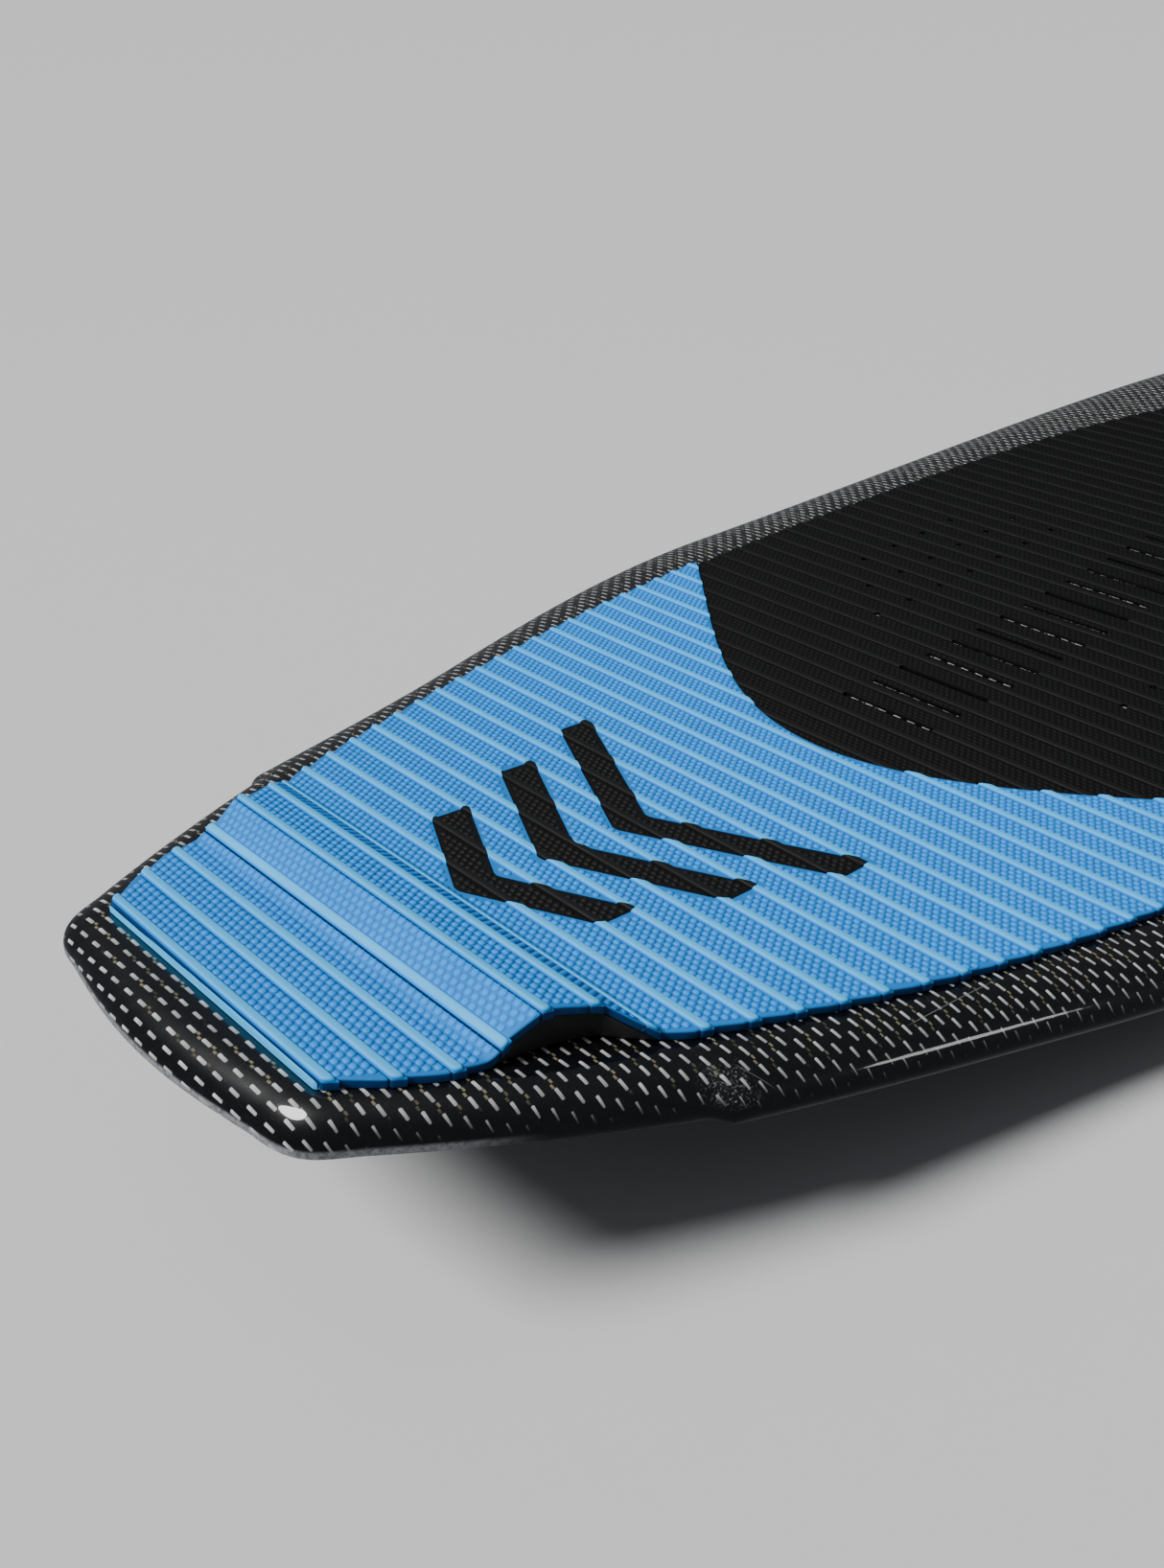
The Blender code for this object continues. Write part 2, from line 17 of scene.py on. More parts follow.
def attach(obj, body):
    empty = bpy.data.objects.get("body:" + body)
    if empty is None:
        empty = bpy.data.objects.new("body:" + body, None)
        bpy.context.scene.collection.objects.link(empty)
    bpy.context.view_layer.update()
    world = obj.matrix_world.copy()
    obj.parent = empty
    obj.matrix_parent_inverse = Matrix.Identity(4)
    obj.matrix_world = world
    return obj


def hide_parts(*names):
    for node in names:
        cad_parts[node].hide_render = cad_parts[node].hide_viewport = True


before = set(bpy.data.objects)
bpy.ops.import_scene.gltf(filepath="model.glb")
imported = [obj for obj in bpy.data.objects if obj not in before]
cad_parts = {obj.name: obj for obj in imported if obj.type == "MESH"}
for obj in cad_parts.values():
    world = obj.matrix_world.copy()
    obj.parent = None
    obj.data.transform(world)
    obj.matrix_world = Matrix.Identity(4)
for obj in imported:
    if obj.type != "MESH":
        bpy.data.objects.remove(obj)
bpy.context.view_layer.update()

# ---------------------------------------------------------------- driving dimensions, in metres

LENGTH = 1.420
SKIN = 0.0012
GAP = 0.0003
PAD, FRONT_PAD = 0.005, 0.0021

OUTLINE = (
    ((0.000, 0.0000), (0.000, 0.0220), (0.0035, 0.0400), (0.007, 0.0580), 20),
    ((0.007, 0.0580), (0.0085, 0.0780), (0.016, 0.0795), (0.030, 0.0870), 30),
    ((0.030, 0.0870), (0.062, 0.1060), (0.103, 0.1265), (0.136, 0.1415), 30),
    ((0.136, 0.1415), (0.138, 0.1424), (0.140, 0.1434), (0.142, 0.1443), 8),
    ((0.142, 0.1443), (0.292, 0.1970), (0.440, 0.2635), (0.590, 0.2635), 70),
    ((0.590, 0.2635), (1.020, 0.2635), (1.420, 0.1950), (1.420, 0.0000), 130),
)
WING_START, WING_FULL, WING_END, WING_STEP = 0.136, 0.142, 0.300, 0.0045
FLAT_SPOT = 0.282
NOSE_RISE, NOSE_EASE = 0.1514, 0.300
TAIL_RISE, TAIL_EASE = 0.270, 4.32
THICK_TAIL, THICK_MID, THICK_NOSE, THICKEST_AT = 0.0135, 0.0240, 0.0095, 0.650
ROLL_TAIL, ROLL_MID, ROLL_FULL_AT = 0.016, 0.041, 0.600
BAND_TAIL, BAND_MID = 0.12, 0.34
TUCK_MID = 0.006
MERGE, BOTTOM_INSET = 2e-5, 0.9985      # points this close are one; the bottom stops inside the deck's edge

PAD_OUTLINE = (
    ((0.0258, 0.0645), (0.0264, 0.0660), (0.0272, 0.0668), (0.0285, 0.0676), 6),
    ((0.0285, 0.0676), (0.0420, 0.0765), (0.0600, 0.0895), (0.0778, 0.0910), 12),
    ((0.0778, 0.0910), (0.0900, 0.0921), (0.1050, 0.0925), (0.1212, 0.1005), 12),
    ((0.1212, 0.1005), (0.1290, 0.1085), (0.1350, 0.1160), (0.1526, 0.1230), 12),
    ((0.1526, 0.1230), (0.3070, 0.1840), (0.4650, 0.2170), (0.6200, 0.2170), 40),
    ((0.6200, 0.2170), (0.8800, 0.2170), (1.1700, 0.1650), (1.1850, 0.0300), 80),
)
SEAM_AT, SEAM_BOW, SEAM_EASE, SEAM_HALF = 0.3795, 5.23, 12.35, 0.240
SEAM_REACH = (0.37, 0.62)
KICK = ((0.0778, 0.0), (0.0985, 0.0130), (0.1212, 0.0107), (0.1378, 0.0))
KICK_SHEET_END = 0.150
WEDGE_EDGE, WEDGE_INSET, WEDGE_ROUND = 0.0008, 0.0010, 0.0009

# Pad surface: ribs across the board, a cut on each rib's tail side, and rows of small domes between
PITCH = 0.0185
FIRST_RIB = 0.1526          # a rib sits here; the others are whole pitches away along the sheet
RIB_HALF, RIB_HEIGHT, FRONT_RIB_HEIGHT = 0.0022, 0.0011, 0.0007
CUT_AT, CUT_HALF, CUT_DEPTH = -0.0026, 0.00022, 0.0012
OPEN_CUT_HALF, OPEN_CUT_DEPTH = 0.00045, 0.0022
SCALLOP = 0.0016            # the edge between two ribs is cut back by this much at its tail end
NOTCH_WIDTH, NOTCH_DEPTH, RIB_FOOT = 0.0004, 0.0008, 0.0002
EDGE_EASE, EDGE_DROP, FOLD_EASE = 0.0007, 0.0006, 0.0016
CREASE = math.radians(38)
# Places of a sheet's lengthwise lines in from its edge, closer where the edge is eased
SHEET_EDGE = np.array([0, 0.00015, 0.0004, 0.0008, 0.0013, 0.0018, 0.0023, 0.0032, 0.0060])
CRACK_END, CRACK_HALF, CRACK_FAR, CRACK_DEPTH = 0.0290, 0.00024, 0.00066, 0.0034      # torn open, last rib
CRACK_WAVES = ((0.25, 130, 0.8), (0.20, 310, 2.0), (0.12, 760, 0.0))
DOME_ROWS, DOME_PITCH, DOME_RADIUS, DOME_HEIGHT = 4, 0.0037, 0.00170, 0.00060
ROW_PITCH = (PITCH - 2 * RIB_HALF - 0.0006) / DOME_ROWS
DOME_CORNER = 1.05          # reach of a dome's corners beyond its sides
DOME_MARGIN = 0.0019        # no dome's centre is closer to an edge
DOME_COLUMNS = 70           # to each side of the middle, enough to pass the widest pad
PAD_START = PAD_OUTLINE[0][0][0]
STRIP_END, STRIP_DROP = 0.0275, 0.0005      # the strip aft of the last rib is a little lower

# Openings through the front pad: slots across its middle and three rows of round holes at each side
SLOT_FIRST, SLOT_PITCH, SLOT_COUNT = 0.4473, 0.0277, 14
SLOT_REACH, SLOT_HALF_WIDTH, HOLE_RADIUS = 0.0272, 0.0019, 0.0022
HOLE_PITCH = 0.0358
HOLE_ROWS = ((0.083, 0.5565, 7), (0.114, 0.5918, 6), (0.144, 0.6277, 4))      # y, first place, holes

INLAY_TIPS = (0.140, 0.186, 0.232)
INLAY_ARM, INLAY_STROKE, INLAY_HALF, INLAY_ROUND = 0.052, 0.021, (0.052, 0.070, 0.088), 0.0035

# Fins, their boxes, and the vent
FIN_SPOTS = {"left": (0.282, 0.112), "right": (0.282, -0.112), "centre": (0.125, 0.0)}
TOE_IN, CANT = math.radians(2.5), math.radians(4.0)
FIN_CHORD, FIN_DEPTH, CENTRE_DEPTH = 0.084, 0.046, 0.042
FIN_THICK, FIN_TAPER, FIN_EDGE = 0.0064, 0.62, 0.35
LEAD_RAKE, LEAD_CURL, TRAIL_RAKE = 0.30, 0.52, 0.16
TIP_FROM, TIP_OVER, TIP_CHORD, TIP_THICK = 0.90, 0.105, 0.35, 0.25    # where the tip rounds off, what it keeps
TAB_LENGTH, TAB_THICK, TAB_HEIGHT, TAB_ROUND = 0.064, 0.005, 0.0090, 0.002
BOX_LENGTH, BOX_WIDTH, BOX_DEPTH, BOX_ROUND = 0.080, 0.023, 0.0112, 0.006
VENT_AT, VENT_RADIUS, VENT_DEPTH = 1.275, 0.0095, 0.0074
PAST = 0.004                # cutters reach this much past a surface
THROUGH = (-0.1, 0.3)       # and these heights take them through all of a pad

NOSE_DOWN = math.radians(8.0924)
STANCE_SHIFT = (-0.00887, 0.0, 0.00603)
STANCE = Matrix.Translation(STANCE_SHIFT) @ Matrix.Rotation(NOSE_DOWN, 4, "Y")

# ---------------------------------------------------------------- mesh helpers


def linked(name, data):
    o = bpy.data.objects.new(name, data)
    bpy.context.scene.collection.objects.link(o)
    return o


def put(name, mesh, body, node, material):
    """A finished piece: set down in the stance, riding on its body, standing for its CAD node."""
    mesh.transform(STANCE)
    mesh.materials.append(material)
    o = linked(name, mesh)
    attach(o, body)
    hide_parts(node)
    return o


def grid_faces(index):
    """Four-sided faces between neighbours in a grid of point numbers."""
    quads = np.stack([index[:-1, :-1], index[:-1, 1:], index[1:, 1:], index[1:, :-1]], axis=-1)
    return quads.reshape(-1, 4).tolist()


def tube_faces(rows, per_row):
    """Faces of a closed tube of rings with the same number of points, and its two end faces."""
    index = np.arange(rows * per_row).reshape(rows, per_row)
    return grid_faces(np.column_stack([index, index[:, 0]])) + [index[0, ::-1].tolist(), index[-1].tolist()]


def grid_mesh(name, points, faces):
    mesh = bpy.data.meshes.new(name)
    mesh.from_pydata([tuple(p) for p in points], [], faces)
    mesh.update()
    mesh.shade_smooth()
    return mesh


def outward(mesh):
    bm = bmesh.new()
    bm.from_mesh(mesh)
    bmesh.ops.recalc_face_normals(bm, faces=bm.faces)
    bm.to_mesh(mesh)
    bm.free()
    return mesh


def prism(name, outlines, low, high):
    """Closed vertical blocks over plan outlines of (x, y) points."""
    bm = bmesh.new()
    for outline in outlines:
        face = bm.faces.new([bm.verts.new((x, y, low)) for x, y in outline])
        top = bmesh.ops.extrude_face_region(bm, geom=[face])
        rise = [v for v in top["geom"] if isinstance(v, bmesh.types.BMVert)]
        bmesh.ops.translate(bm, verts=rise, vec=(0, 0, high - low))
    bmesh.ops.recalc_face_normals(bm, faces=bm.faces)
    mesh = bpy.data.meshes.new(name)
    bm.to_mesh(mesh)
    bm.free()
    return mesh


def circle(x, y, radius, sides=20):
    turns = [2 * math.pi * i / sides for i in range(sides)]
    return [(x + radius * math.cos(a), y + radius * math.sin(a)) for a in turns]


def baked(o):
    """The object's mesh with its modifiers applied. The object is used up."""
    bpy.context.view_layer.update()
    result = bpy.data.meshes.new_from_object(o.evaluated_get(bpy.context.evaluated_depsgraph_get()))
    bpy.data.objects.remove(o)
    return result


def carved(mesh, *cuts, sharp=None):
    """The mesh after Boolean cuts, given as (operation, cutter mesh) pairs. The cutters are used up."""
    o = linked("carving", mesh)
    tools = [linked("tool", tool_mesh) for _, tool_mesh in cuts]
    for (operation, _), tool in zip(cuts, tools):
        m = o.modifiers.new("cut", "BOOLEAN")
        m.operation = operation
        m.solver = "EXACT"
        m.object = tool
    result = baked(o)
    for tool in tools:
        bpy.data.objects.remove(tool)
    if sharp is not None:
        result.shade_smooth()
        result.set_sharp_from_angle(angle=math.radians(sharp))
    return result


def set_uv(mesh, name, per_vertex):
    """A UV map from one (u, v) pair for each vertex."""
    layer = mesh.uv_layers.new(name=name)
    index = np.empty(len(mesh.loops), np.int32)
    mesh.loops.foreach_get("vertex_index", index)
    layer.uv.foreach_set("vector", np.asarray(per_vertex, np.float32)[index].ravel())


def set_vector(mesh, name, per_vertex):
    attribute = mesh.attributes.new(name, "FLOAT_VECTOR", "POINT")
    attribute.data.foreach_set("vector", np.asarray(per_vertex, np.float32).ravel())


def coordinates(mesh):
    co = np.empty(len(mesh.vertices) * 3, np.float32)
    mesh.vertices.foreach_get("co", co)
    return co.reshape(-1, 3).astype(float)


# ---------------------------------------------------------------- shape of the board


def blend(t):
    t = np.clip(t, 0, 1)
    return t * t * (3 - 2 * t)


def pad_top(tail):
    ahead = np.maximum(tail - FLAT_SPOT, 0)
    behind = np.minimum(tail - FLAT_SPOT, 0)
    return NOSE_RISE * ahead**2 / (1 + NOSE_EASE * ahead) + TAIL_RISE * behind**2 / (1 - TAIL_EASE * behind)


def deck(tail):
    return pad_top(tail) - PAD


def thickness(tail):
    aft = THICK_TAIL + (THICK_MID - THICK_TAIL) * np.sin(np.pi / 2 * np.minimum(tail / THICKEST_AT, 1))
    ahead = np.maximum(tail - THICKEST_AT, 0) / (LENGTH - THICKEST_AT)
    fore = THICK_NOSE + (THICK_MID - THICK_NOSE) * (1 - ahead * ahead)
    return np.where(tail < THICKEST_AT, aft, fore)


def bottom(tail):
    return deck(tail) - thickness(tail)


def wing(tail):
    rise = WING_STEP * blend((tail - WING_START) / (WING_FULL - WING_START))
    fall = WING_STEP * (1 - blend((tail - WING_FULL) / (WING_END - WING_FULL)))
    return np.where(tail < WING_FULL, rise, fall)


def spans(parts):
    """Points along Bezier spans, ends shared."""
    points = [Vector(parts[0][0])]
    for start, h1, h2, end, steps in parts:
        flat = [Vector((*p, 0)) for p in (start, h1, h2, end)]
        points += [p.xy for p in interpolate_bezier(*flat, steps + 1)[1:]]
    return np.array([tuple(p) for p in points])


def eased_normals(points, reach=0.012):
    """Inward unit normals of the half outline, averaged along it so that rays from them never cross."""
    along = np.gradient(points, axis=0)
    along[0], along[-1] = (0, 1), (0, -1)
    along /= np.linalg.norm(along, axis=1)[:, None]
    normals = np.stack([along[:, 1], -along[:, 0]], 1)
    mirror = np.array([1, -1])
    run = np.concatenate([[0], np.cumsum(np.linalg.norm(np.diff(points, axis=0), axis=1))])
    places = np.concatenate([-run[:0:-1], run, 2 * run[-1] - run[-2::-1]])
    field = np.concatenate([normals[:0:-1] * mirror, normals, normals[-2::-1] * mirror])
    width = np.abs(np.gradient(places))
    eased = []
    for s in run:
        weight = np.exp(-(((places - s) / reach) ** 2)) * width
        eased.append((field * weight[:, None]).sum(0))
    eased = np.array(eased)
    return eased / np.linalg.norm(eased, axis=1)[:, None]


def rail_section(points, normals, arc_steps=22):
    """For each outline point, the rail from the bottom edge up and over to the flat deck:
    positions, weave coordinates (the cloth draped from the deck over the rail), and share of the height."""
    tail = points[:, 0]
    full = blend(tail / ROLL_FULL_AT)
    roll = ROLL_TAIL + (ROLL_MID - ROLL_TAIL) * full
    share = BAND_TAIL + (BAND_MID - BAND_TAIL) * full
    side = wing(tail)
    foot = points + normals * (TUCK_MID * full)[:, None]
    foot[:, 1] += side
    rows = []
    edge_z = bottom(foot[:, 0])
    for step in range(arc_steps + 1):
        a = np.pi / 2 * (1 - step / arc_steps)
        into = 1 - np.sin(a)
        q = points + normals * (roll * into)[:, None]
        q[:, 1] += side * (1 - into) ** 2
        drop = thickness(q[:, 0]) * (1 - share) * (1 - np.cos(a))
        rows.append(np.column_stack([q, deck(q[:, 0]) - drop]))
    apex = rows[0]
    lower = []
    for lift, out in ((0.0, 0.0), (0.05, 0.12), (0.16, 0.32), (0.36, 0.58), (0.66, 0.82)):
        p = np.column_stack([foot, edge_z])
        lower.append(np.column_stack([
            p[:, :2] + (apex[:, :2] - p[:, :2]) * out,
            p[:, 2] + (apex[:, 2] - p[:, 2]) * lift,
        ]))
    section = np.array(lower + rows)                       # (across, along, 3)
    section[:, 0, 1] = section[:, -1, 1] = 0.0
    reach = np.zeros(section.shape[:2])
    steps = np.linalg.norm(np.diff(section[::-1], axis=0), axis=2)
    reach[:-1] = np.cumsum(steps, axis=0)[::-1]
    flat_edge = section[-1][None, :, :2]
    weave = flat_edge - normals[None] * reach[:, :, None]
    height = (section[:, :, 2] - edge_z[None]) / thickness(tail)[None]
    return section, weave, height


def board_sheet(name, co, weave, rail, facing):
    """A smooth sheet over a grid of points, its ends closed up, facing up (1) or down (-1)."""
    wide, long = co.shape[:2]
    mesh = grid_mesh(name, co.reshape(-1, 3), grid_faces(np.arange(wide * long).reshape(wide, long)))
    set_uv(mesh, "weave", weave.reshape(-1, 2))
    set_uv(mesh, "rail", rail.reshape(-1, 2))
    bm = bmesh.new()
    bm.from_mesh(mesh)
    bmesh.ops.remove_doubles(bm, verts=bm.verts, dist=MERGE)
    bmesh.ops.dissolve_degenerate(bm, edges=bm.edges, dist=MERGE / 20)
    bmesh.ops.recalc_face_normals(bm, faces=bm.faces)
    if facing * sum(f.normal.z * f.calc_area() for f in bm.faces) < 0:
        bmesh.ops.reverse_faces(bm, faces=bm.faces)
    bm.to_mesh(mesh)
    bm.free()
    mesh.shade_smooth()
    return mesh


def deck_mesh(points, normals, across=10):
    """Deck and rails as one sheet from bottom edge to bottom edge."""
    section, weave, height = rail_section(points, normals)
    shares = 1 - 2 * np.arange(1, across)[:, None, None] / across
    mirror = np.array([1, -1, 1])
    narrowed = np.array([1, 0, 1]) + np.array([0, 1, 0]) * shares
    co = np.concatenate([section, section[-1] * narrowed, section[::-1] * mirror])
    weaves = np.concatenate([weave, weave[-1] * narrowed[..., :2], weave[::-1] * mirror[:2]])
    level = np.repeat(height[-1:], across - 1, axis=0)
    heights = np.concatenate([height, level, height[::-1]])
    rail = np.stack([np.broadcast_to(points[:, 0], heights.shape), heights], axis=-1)
    return board_sheet("deck", co, weaves, rail, 1)


def bottom_mesh(points, normals, across=14):
    """Bottom sheet between the two bottom edges."""
    foot = rail_section(points, normals)[0][0]
    shares = (1 - 2 * np.arange(across + 1)[:, None, None] / across) * BOTTOM_INSET
    co = foot * (np.array([1, 0, 1]) + np.array([0, 1, 0]) * shares)
    rail = np.stack([co[..., 0], np.zeros(co.shape[:2])], axis=-1)
    return board_sheet("bottom", co, co[..., :2], rail, -1)


def to_x(mesh):
    """From distances along the board to the board's own x."""
    mesh.transform(Matrix.Translation((-LENGTH / 2, 0, 0)))
    return mesh


def solidified(mesh, thick):
    """A closed sheet, thickened inwards."""
    o = linked("sheet", mesh)
    m = o.modifiers.new("thick", "SOLIDIFY")
    m.thickness = thick
    m.offset = -1
    return baked(o)


# ---------------------------------------------------------------- deck pads


def kick_lift(tail):
    """Height of the kick over the deck, its folds eased over a few millimetres."""
    places, heights = zip(*KICK)
    offsets = np.linspace(-FOLD_EASE, FOLD_EASE, 9)
    return np.mean([np.interp(tail + o, places, heights, left=0, right=0) for o in offsets], axis=0)


FINE = np.arange(0.0, LENGTH, 0.0002)
SHEET_LINE = pad_top(FINE) + kick_lift(FINE)
SHEET_RUN = np.concatenate([[0], np.cumsum(np.hypot(np.diff(FINE), np.diff(SHEET_LINE)))])
RUN_AT_RIB = np.interp(FIRST_RIB, FINE, SHEET_RUN)


def run_at(tail):
    """Distance along the sheet's surface, zero at the first rib ahead of the kick."""
    return np.interp(tail, FINE, SHEET_RUN) - RUN_AT_RIB


def tail_at(run):
    return np.interp(run + RUN_AT_RIB, SHEET_RUN, FINE)


def pad_half(tail):
    """Half-width of the pads, with the edge scalloped between ribs."""
    outline = spans(PAD_OUTLINE)
    half = np.interp(tail, outline[:, 0], outline[:, 1])
    place = (run_at(tail) / PITCH) % 1.0
    start, end = (RIB_HALF + RIB_FOOT) / PITCH, 1 + (CUT_AT - CUT_HALF) / PITCH
    share = np.clip((place - start) / (end - start), 0, 1)
    step = blend((place - start) / 0.012) * (place < end)
    notch = np.exp(-(((place - 1) * PITCH - CUT_AT) / NOTCH_WIDTH) ** 2)
    return half - SCALLOP * (1 - share) * step - NOTCH_DEPTH * notch


def cut_size(run, y=0.0):
    """Half-width and depth of the cut beside each rib; it gapes over the kick and is torn open at the end."""
    gaping = blend((run_at(KICK_SHEET_END) - run) / 0.004)
    half = CUT_HALF + (OPEN_CUT_HALF - CUT_HALF) * gaping
    depth = CUT_DEPTH + (OPEN_CUT_DEPTH - CUT_DEPTH) * gaping
    torn = blend((run_at(CRACK_END) - run) / 0.0005)
    ragged = 0.6 + sum(size * np.sin(y * turns + start) for size, turns, start in CRACK_WAVES)
    half = half + torn * (CRACK_HALF * ragged + CRACK_FAR * blend((y + 0.03) / 0.09))
    return half, depth + (CRACK_DEPTH - depth) * torn


def relief(run, y, inside, rib_height):
    """Height of ribs and cuts over the sheet's base, at a place on it and a distance in from its edge."""
    across = ((run / PITCH + 0.5) % 1.0 - 0.5) * PITCH
    near_end = np.clip((RIB_HALF - inside) / RIB_HALF, 0, 1)
    r2 = (across / RIB_HALF) ** 2 + near_end**2
    rib = rib_height * np.sqrt(np.clip(1 - r2 * r2, 0, 1))
    half, depth = cut_size(run, y)
    cut = depth * rib_height / RIB_HEIGHT * np.clip(1 - np.abs(across - CUT_AT) / half, 0, 1)
    edge = EDGE_DROP * np.clip(1 - inside / EDGE_EASE, 0, 1) ** 2
    return rib - cut - edge


def sheet_stations(start, end):
    """Distances along the sheet where its surface needs a row of points."""
    low, high = run_at(start), run_at(end)
    runs = [low, high, *np.arange(low, high, 0.003)]
    first, last = math.floor(low / PITCH), math.ceil(high / PITCH)
    for n in range(first, last + 1):
        for share in (-1, -0.98, -0.93, -0.82, -0.62, -0.35, 0, 0.35, 0.62, 0.82, 0.93, 0.98, 1):
            runs.append(n * PITCH + share * RIB_HALF)
        half, _ = cut_size(n * PITCH + CUT_AT)
        runs += [n * PITCH + CUT_AT + o for o in (-half, 0.0, half)]
        runs += [n * PITCH + RIB_HALF + RIB_FOOT, n * PITCH + RIB_HALF + 0.0005]
    runs += list(np.linspace(run_at(PAD_START), run_at(CRACK_END), 12))
    for fold, _ in KICK:
        runs += list(run_at(fold) + np.linspace(-0.0025, 0.0025, 11))
    for p in spans(PAD_OUTLINE)[-60:]:
        runs.append(run_at(p[0]))
    runs = np.sort([r for r in runs if low <= r <= high])
    keep = np.concatenate([[True], np.diff(runs) > 0.00008])
    return runs[keep]


def sheet_mesh(name, start, end, thick, rib_height, lines=22):
    """The ribbed sheet over its whole width between two places, closed, before it is cut to shape."""
    runs = sheet_stations(start, end)
    tail = tail_at(runs)
    half = pad_half(tail)
    reach = half[:, None] - SHEET_EDGE
    middle = (half - SHEET_EDGE[-1])[:, None] * (1 - 2 * np.arange(1, lines + 1) / (lines + 1))
    across = np.hstack([reach, middle, -reach[:, ::-1]])
    slope = np.gradient(np.interp(tail, FINE, SHEET_LINE), tail)
    normal = np.column_stack([-slope, np.ones_like(slope)])
    normal /= np.linalg.norm(normal, axis=1)[:, None]
    lift = relief(runs[:, None], across, half[:, None] - np.abs(across), rib_height)
    lift -= STRIP_DROP * np.clip((STRIP_END - tail[:, None]) / (STRIP_END - PAD_START), 0, 1)
    base = deck(tail) + thick + kick_lift(tail) - rib_height
    tail_lifted, z_lifted = tail[:, None] + normal[:, :1] * lift, base[:, None] + normal[:, 1:] * lift
    top = np.stack([tail_lifted, across, z_lifted], axis=-1)
    floor_z = deck(tail) + kick_lift(tail) + GAP
    sides = [np.column_stack([tail, sign * half, floor_z])[:, None] for sign in (1, -1)]
    rings = np.concatenate([sides[0], top, sides[1]], axis=1)
    return outward(grid_mesh(name, rings.reshape(-1, 3), tube_faces(*rings.shape[:2])))


def seam(half):
    return SEAM_AT + SEAM_BOW * half * half / (1 + SEAM_EASE * half * half)


def ahead_of_seam(grow, steps=160):
    """Block over everything ahead of the pads' joint, grown aft by a gap."""
    edge = [(seam(abs(y)) - grow, y) for y in (SEAM_HALF * (2 * i / steps - 1) for i in range(steps + 1))]
    edge += [(LENGTH, SEAM_HALF), (LENGTH, -SEAM_HALF)]
    return prism("ahead", [edge], *THROUGH)


def chevron(tip, half, grow):
    """Plan outline of a chevron that points to the tail, its corners rounded."""
    run = INLAY_ARM * half / INLAY_HALF[-1]
    aft, fore, reach = tip - grow, tip + INLAY_STROKE + grow, half + grow
    corners = [(aft, 0), (aft + run, reach), (fore + run, reach),
               (fore, 0), (fore + run, -reach), (aft + run, -reach)]
    return rounded(corners, INLAY_ROUND)


def rounded(corners, radius, steps=6):
    """A closed outline with each corner replaced by an arc-like curve."""
    points = []
    count = len(corners)
    for i in range(count):
        before, here, after = (Vector(corners[(i + d) % count]) for d in (-1, 0, 1))
        a = here + (before - here).normalized() * radius
        b = here + (after - here).normalized() * radius
        for step in range(steps + 1):
            t = step / steps
            p = a * (1 - t) ** 2 + here * 2 * t * (1 - t) + b * t * t
            points.append((p.x, p.y))
    return points


def dome_sites(start, end):
    """(distance along the sheet, y) of every dome between two places, rows staggered."""
    sites = []
    low, high = run_at(start), run_at(end)
    for n in range(math.floor(low / PITCH), math.ceil(high / PITCH) + 1):
        for row in range(DOME_ROWS):
            run = n * PITCH + RIB_HALF + (row + 0.5) * ROW_PITCH
            if low <= run <= high:
                shift = DOME_PITCH * 0.5 * (row % 2)
                for k in range(-DOME_COLUMNS, DOME_COLUMNS + 1):
                    sites.append((run, k * DOME_PITCH + shift))
    return np.array(sites)


def distance_to(points, outline):
    """Distance from each point to a closed outline, negative inside it."""
    a = np.array(outline)
    b = np.roll(a, -1, axis=0)
    d = b - a
    rel = points[:, None, :] - a[None]
    t = np.clip((rel * d).sum(2) / (d * d).sum(1), 0, 1)
    near = np.linalg.norm(rel - t[..., None] * d, axis=2).min(1)
    x, y = points[:, 0][:, None], points[:, 1][:, None]
    at = a[:, 0] + d[:, 0] * (y - a[:, 1]) / (d[:, 1] + 1e-12)
    crosses = ((a[:, 1] > y) != (b[:, 1] > y)) & (x < at)
    return np.where(crosses.sum(1) % 2 == 1, -near, near)


def with_domes(mesh, sites):
    """The sheet with a small round dome at each site, as shells that start just under its surface."""
    run, y = sites[:, 0], sites[:, 1]
    tail = tail_at(run)
    slope = np.interp(tail, FINE, np.gradient(SHEET_LINE, FINE))
    length = np.hypot(1, slope)
    along = np.column_stack([1 / length, np.zeros_like(slope), slope / length])
    up = np.column_stack([-slope / length, np.zeros_like(slope), 1 / length])
    left = np.array([0, 1, 0])
    centre = np.column_stack([tail, y, pad_top(tail) + kick_lift(tail) - RIB_HEIGHT])
    rings = ((1.0, -0.12), (0.78, 0.56), (0.40, 0.90), (0.0, 1.0))
    sides = 8
    points = []
    for radius, height in rings:
        count = sides if radius else 1
        for i in range(count):
            a = 2 * math.pi * i / sides
            reach = DOME_RADIUS * radius * (DOME_CORNER if i % 2 else 1.0)
            points.append(centre + along * reach * math.cos(a) + left * reach * math.sin(a)
                          + up * DOME_HEIGHT * height)
    points = np.array(points).transpose(1, 0, 2)            # (dome, point, 3)
    per = points.shape[1]
    pattern = []
    for i in range(sides):
        k = (i + 1) % sides
        pattern += [(base + i, base + k, base + sides + k, base + sides + i) for base in (0, sides)]
        pattern.append((2 * sides + i, 2 * sides + k, 3 * sides))
    faces = [tuple(d * per + v for v in face) for d in range(len(points)) for face in pattern]
    domes = grid_mesh("domes", points.reshape(-1, 3), faces)
    bm = bmesh.new()
    bm.from_mesh(mesh)
    bm.from_mesh(domes)
    bm.to_mesh(mesh)
    bm.free()
    bpy.data.meshes.remove(domes)
    return mesh


def mark_sheet(mesh):
    """Stores on each point its place on the sheet: distance along it, y, and height over the deck."""
    co = coordinates(mesh)
    over = co[:, 2] - deck(co[:, 0]) - kick_lift(co[:, 0])
    set_vector(mesh, "sheet", np.column_stack([run_at(co[:, 0]), co[:, 1], over]))
    return mesh


